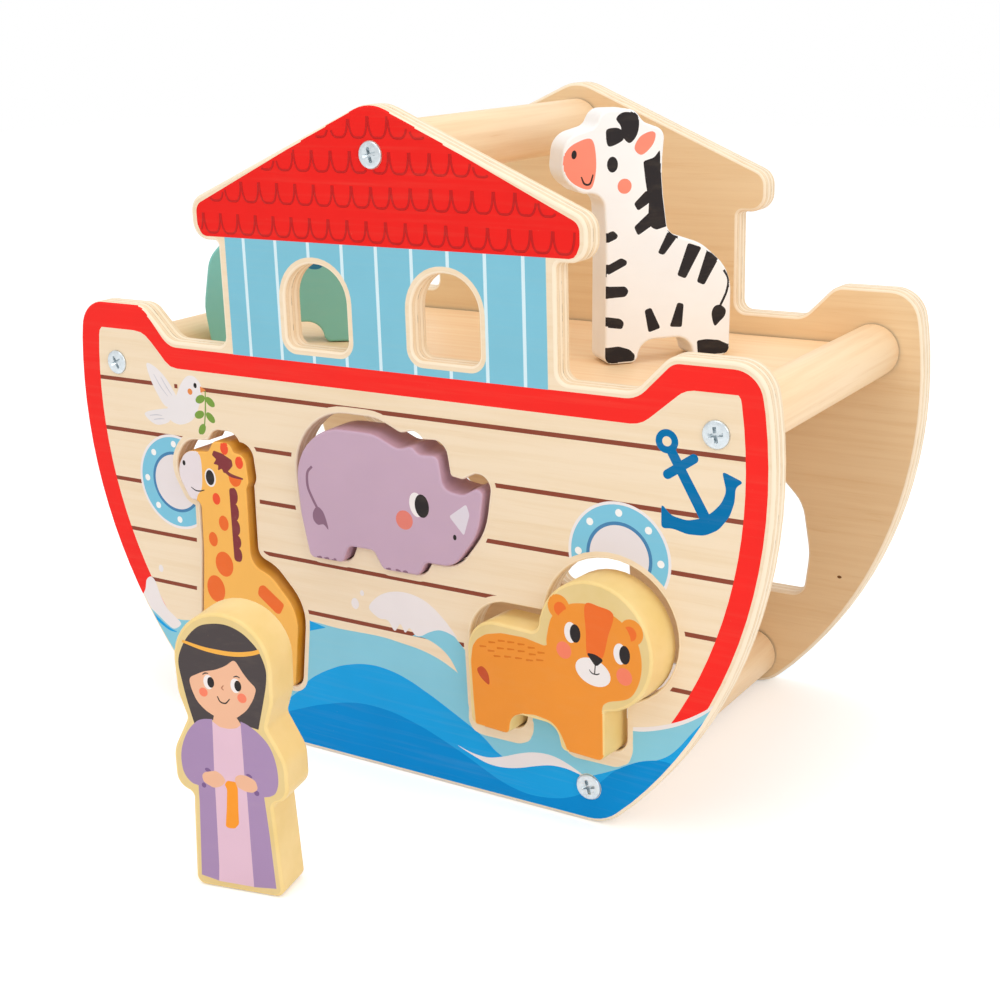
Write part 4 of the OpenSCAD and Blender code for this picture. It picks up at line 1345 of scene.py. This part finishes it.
lion += [("cheek", oval(3.4, 36.6, 3)), ("cheek", oval(26.9, 32.6, 3)),
         ("white", oval(14.8, 31.4, 6.9, 4.7, -9)),
         ("black", soft([(12.2, 37.7), (15.8, 37.9), (19.2, 36.5), (16, 33.4)], 1.4)),
         ("black", bar((15.8, 34.4), (15.5, 31.2), 0.42))]
lion += smile([(13.4, 32), (14.4, 31), (16.2, 30.9), (17.4, 31.5)], 0.45)
lion += [("tail", smooth([(-33.2, 21.4), (-30.9, 22.9), (-28.5, 20.8), (-28.2, 16.8), (-31.6, 18.6)]))]
lion += [("fur", bar((s, z), (s + 2.4, z + 0.35), 0.8, 0.5))
         for s, z in ((-31.5, 30.3), (-27.6, 32.6), (-23.5, 34), (-19.5, 34.4), (-15.2, 34.6), (-11, 34.3),
                      (-28, 29.4), (-24, 31.2), (-19.6, 31.8), (-15.2, 32.1), (-10.6, 32), (-7, 33.4),
                      (-25.5, 28), (-21, 28.8), (-16.4, 29.3), (-11.8, 29.6), (-7.6, 30.6))]
print("lion: shapes", len(lion))

# %% Zebra
zebra = [("zebra", patch(-60, -5, 60, 110)),
         ("muzzle", smooth([(-20.7, 79.2), (-19.2, 71.3), (-20.3, 64.1), (-22.6, 62.4), (-27.4, 64.5),
                            (-30.2, 67.7), (-31.1, 71.3), (-30.1, 75.5), (-26.5, 78.3)])),
         ("black", oval(-27.2, 74.4, 0.95, 1.5, -8))]
zebra += smile([(-24.7, 66.8), (-23.6, 64.4), (-21.6, 64.3), (-20.4, 67.4)], 0.7)
zebra += [("black", oval(-13.3, 70.4, 2, 2.7)), ("muzzle", oval(-8.9, 62.8, 2.6)),
          ("muzzle", smooth([(-5.2, 75.5), (-3.2, 79.3), (0.8, 81), (2.6, 79.9), (1.4, 76.3), (-2.5, 73.2)])),
          ("black", smooth([(-14.6, 76.6), (-15.6, 80.6), (-14.9, 82.5), (-11, 82.6), (-9, 80.4),
                            (-9.8, 78.2)])),
          ("black", smooth([(-11.8, 85.8), (-9.4, 87.8), (-5, 87.5), (-3.5, 84.8), (-4.2, 80.2), (-7, 77.4),
                            (-9.7, 80), (-10.2, 83.2)]))]
stripes = [[(-2, 71), (2.1, 72.1), (4.2, 74.7), (4.7, 65.8), (5.4, 56.5), (6.8, 48), (2.8, 47), (0.8, 48.1),
            (-0.2, 51.3), (0.1, 56.8), (-0.6, 60.6), (-1.2, 64.3)],
           [(-0.8, 61), (-5.5, 56.6), (-4, 54), (0, 56.4), (1.6, 58.6)],
           [(0.6, 53.6), (-5.5, 48.5), (-4, 45.4), (1.3, 48.6), (2.6, 51.4)],
           [(-17, 46.6), (-14.8, 47.1), (-13.2, 47.7), (-11.4, 46), (-11.9, 44.8), (-17, 42.8)],
           [(-18, 34.4), (-10.3, 38), (-8.1, 36.8), (-8.3, 35.4), (-18, 31)],
           [(-18, 28.3), (-8.7, 27.8), (-7.5, 26), (-8.7, 24.1), (-18, 23.9)],
           [(-18, 17.8), (-10.7, 16.4), (-9.3, 14.9), (-10.1, 12.6), (-18, 14)],
           [(-18, 6.2), (-11.5, 6.5), (-7.4, 5.1), (-5.2, 2.9), (-5.7, 0.7), (-14.2, 0.5), (-18, 0.8)],
           [(18.5, 6.2), (22.1, 6.5), (27, 5.8), (31, 3.8), (31.6, 0.7), (19, 0.7)],
           [(7.4, 46.6), (11.2, 44.6), (5.7, 37.9), (3.4, 38.8)],
           [(14.9, 41.7), (20.1, 39.8), (14, 29), (10.8, 30.4)],
           [(22.1, 38.7), (26.8, 35.6), (21.2, 26.2), (18.3, 27.5)],
           [(-1.6, 18.8), (0.9, 19.6), (4.5, 11.9), (-0.1, 10.6)],
           [(11, 20.7), (13.4, 20), (12.7, 11.6), (8, 12.1)]]
zebra += [("black", soft(stripe, 0.9)) for stripe in stripes]
zebra += [("black", ribbon([(28.7, 31.1), (30.5, 27.8), (29.9, 23.3), (27.5, 18.3)], (0.8, 0.9, 0.9, 0.9))),
          ("black", smooth([(25.1, 18), (27.4, 18.6), (29.6, 16.8), (29.3, 14.5), (27.4, 12.6), (25.4, 11.2),
                            (24.2, 15.3)]))]
print("zebra: shapes", len(zebra))

# %% Elephant
elephant = [("elephant", patch(-60, -5, 60, 70)),
            ("ear", smooth([(6.5, 45), (5, 39.6), (6.6, 32.4), (10.6, 28.8), (15, 29.2), (17.2, 34),
                            (16.2, 40.4), (12.4, 45.4)]))]
elephant += eye(21.6, 39.4, 1.7, 2.4, 0.4) + smile([(20.6, 30.6), (22, 29.6), (23.6, 29.8), (24.8, 30.8)])
elephant += [("crease", ribbon([(26.6, z + 0.6), (28.6, z), (31.8, z + 0.4)], (0.4, 0.6, 0.5)))
             for z in (20, 16, 12)]
print("elephant: shapes", len(elephant))

# %% Woman
hair = [(-11.4, 56.8), (-13, 63.1), (-14.4, 70.4), (-15.2, 77), (-13.7, 81.8), (-10.8, 86.3), (-6.9, 89.7),
        (-2.4, 91), (2.5, 91.1), (7.1, 89.5), (10.4, 87), (13.2, 83.6), (15.1, 78.4), (15, 73.8),
        (13.7, 67.8), (11.1, 57.6), (4, 59), (-4, 59)]
figure_face = [(4.6, 80.2), (1.4, 77.6), (-2.5, 75.8), (-6.6, 74.9), (-12, 72.2), (-11.4, 68.6), (-9.8, 64.6),
               (-7, 61.8), (-3.6, 60), (0, 59.4), (3.6, 60.4), (7.6, 63.6), (10.2, 67.6), (11.5, 71.4),
               (9.2, 73.4), (7.2, 75.9)]
woman = [("hair", np.r_[smooth(hair[:-2], closed=False), hair[-2:]]),
         ("skin", np.array([(-4.1, 62), (-4.1, 60.7), (-5, 57.4), (-5, 55), (5.2, 55), (5.2, 58.5),
                            (3.4, 61.3), (3.4, 62)])),
         ("skin", soft(figure_face, 1.6)),
         ("gold", ribbon([(-13.2, 84.2), (-6.1, 82.5), (0.8, 81.8), (5.9, 81.9), (10.5, 82.7), (13.4, 83.7)],
                         (0.9, 1.5, 1.5, 1.3)))]
woman += eye(-4.3, 71.5, 1.2, 1.8, 0.85, 1.42) + eye(5.1, 71.4, 1.2, 1.8, 0.85, 1.42)
woman += [("hair", ribbon([(-7, 73.8), (-6, 74.4), (-4.9, 74.4)], (0.3, 0.5, 0.3))),
          ("hair", ribbon([(3.8, 74.2), (4.9, 74.6), (6, 74.2)], (0.3, 0.5, 0.3))),
          ("nose", ribbon([(0.1, 71), (-0.6, 70.1), (0, 69.4)], (0.3, 0.5, 0.3))),
          ("cheek", oval(-7.2, 67.9, 1.5)), ("cheek", oval(6.2, 67.5, 1.6))]
woman += smile([(-2.4, 67.1), (-1.5, 65.4), (0.3, 65.1), (1.9, 66.7)], 0.5)
left_sleeve = smooth([(-4.9, 59.1), (-8.1, 58.7), (-10.7, 57.5), (-13.9, 54), (-16.2, 49.4), (-17.2, 45.2),
                      (-17.1, 40.8), (-16, 37.9), (-14, 36), (-11.9, 35.5)], closed=False)
right_sleeve = smooth([(11.3, 34.7), (13.7, 35.4), (15.6, 37), (16.7, 40.9), (16.3, 46.9), (14.5, 52.3),
                       (11.3, 56.1), (7.6, 58.6), (5, 59.6)], closed=False)
woman += [("dress", soft([(-5.3, 58.6), (-2.4, 56.7), (0.7, 56.5), (3.5, 57.1), (5.2, 58.6), (6, 36),
                          (6, 2.3), (-8, 2.3), (-6.5, 36)], 0.8)),
          ("robe", np.r_[left_sleeve, [(-12, 30), (-13.6, 3.5), (-7.4, 2.4), (-6.9, 7.8), (-6.1, 30.5),
                                       (-5.8, 41.1), (-5.2, 52.6)]]),
          ("robe", np.r_[right_sleeve, [(5, 51.8), (4.9, 42.7), (5.3, 34), (5.2, 18.8), (5.2, 2.2), (13.2, 3),
                                        (12.2, 22.2)]]),
          ("cuff", oval(-8, 41.3, 1.1, 0.7, -15)), ("cuff", oval(-9.9, 35.8, 0.8, 0.9)),
          ("cuff", oval(6.6, 41.3, 1.1, 0.6, -25)), ("cuff", oval(8.8, 35.7, 0.9, 0.9)),
          ("sash", soft([(-2.5, 37), (-1.4, 38.6), (1.6, 38.6), (2.2, 36.2), (1.8, 29.5), (1.6, 23.9),
                         (0, 22.1), (-2.2, 21.9), (-3.3, 22.4), (-2.4, 28.8), (-1.7, 35.6)], 0.6)),
          ("skin", soft([(-10.3, 39.2), (-9.3, 40.4), (-5.1, 41.5), (-2.9, 40.2), (-1.8, 38.2), (-3.7, 36.2),
                         (-6.5, 35.3), (-10, 37)], 1)),
          ("skin", soft([(1.3, 40), (3, 41.3), (5.7, 41.3), (8.7, 40), (9.4, 37.2), (7.5, 35.6), (4.8, 35.7),
                         (1.8, 37)], 1))]
print("woman: shapes", len(woman))

# %% [markdown]
# ## Figures in place
# A figure's board is built like the sides, with the same drawing on its front and its back. Its edge
# has one coat of paint. Where a rim stays free of print, the lion's and the woman's faces take a
# darker copy of the edge's cream, which is painted shade.

# %% Figures in place
FIGURE_SANDS = (1.0, 1.0)
FIGURE_RIMS = (1.05, 1.05)
EDGE_PAINT = {"giraffe": "#D6973F", "rhino": "#BF98A8", "lion": "#F3D591", "zebra": "#F8F5F2",
              "elephant": "#86C8BE", "woman": "#F3D591"}
# Lion and woman: a darker cream on both faces than on the edge, as painted shade on the faces.
PAINT_WITH_FACE_SHADE = dict(EDGE_PAINT, lion="#E6CB8E", woman="#E6CB8E")


def painted(name, code):
    return finish(name, paint_skin, {"Paint": linear(code)}, 0.05, coat=0.03, gloss=0.25)


for node, drawing in zip(FIGURES, (giraffe, rhino, lion, zebra, elephant, woman)):
    paint = painted(node + "_paint", EDGE_PAINT[node])
    # The faces take the paint with painted shade, and the edge the plain coat.
    paint_with_face_shade = painted(node + "_paint_with_face_shade", PAINT_WITH_FACE_SHADE[node])
    piece = board(node + "_figure", node, FIGURE_SANDS, FIGURE_RIMS, drawing, drawing,
                  [paint, paint_with_face_shade, paint_with_face_shade, figure_ink], FIGURE_INK, FIGURE_INK)
    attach(piece, node)
    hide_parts(node)
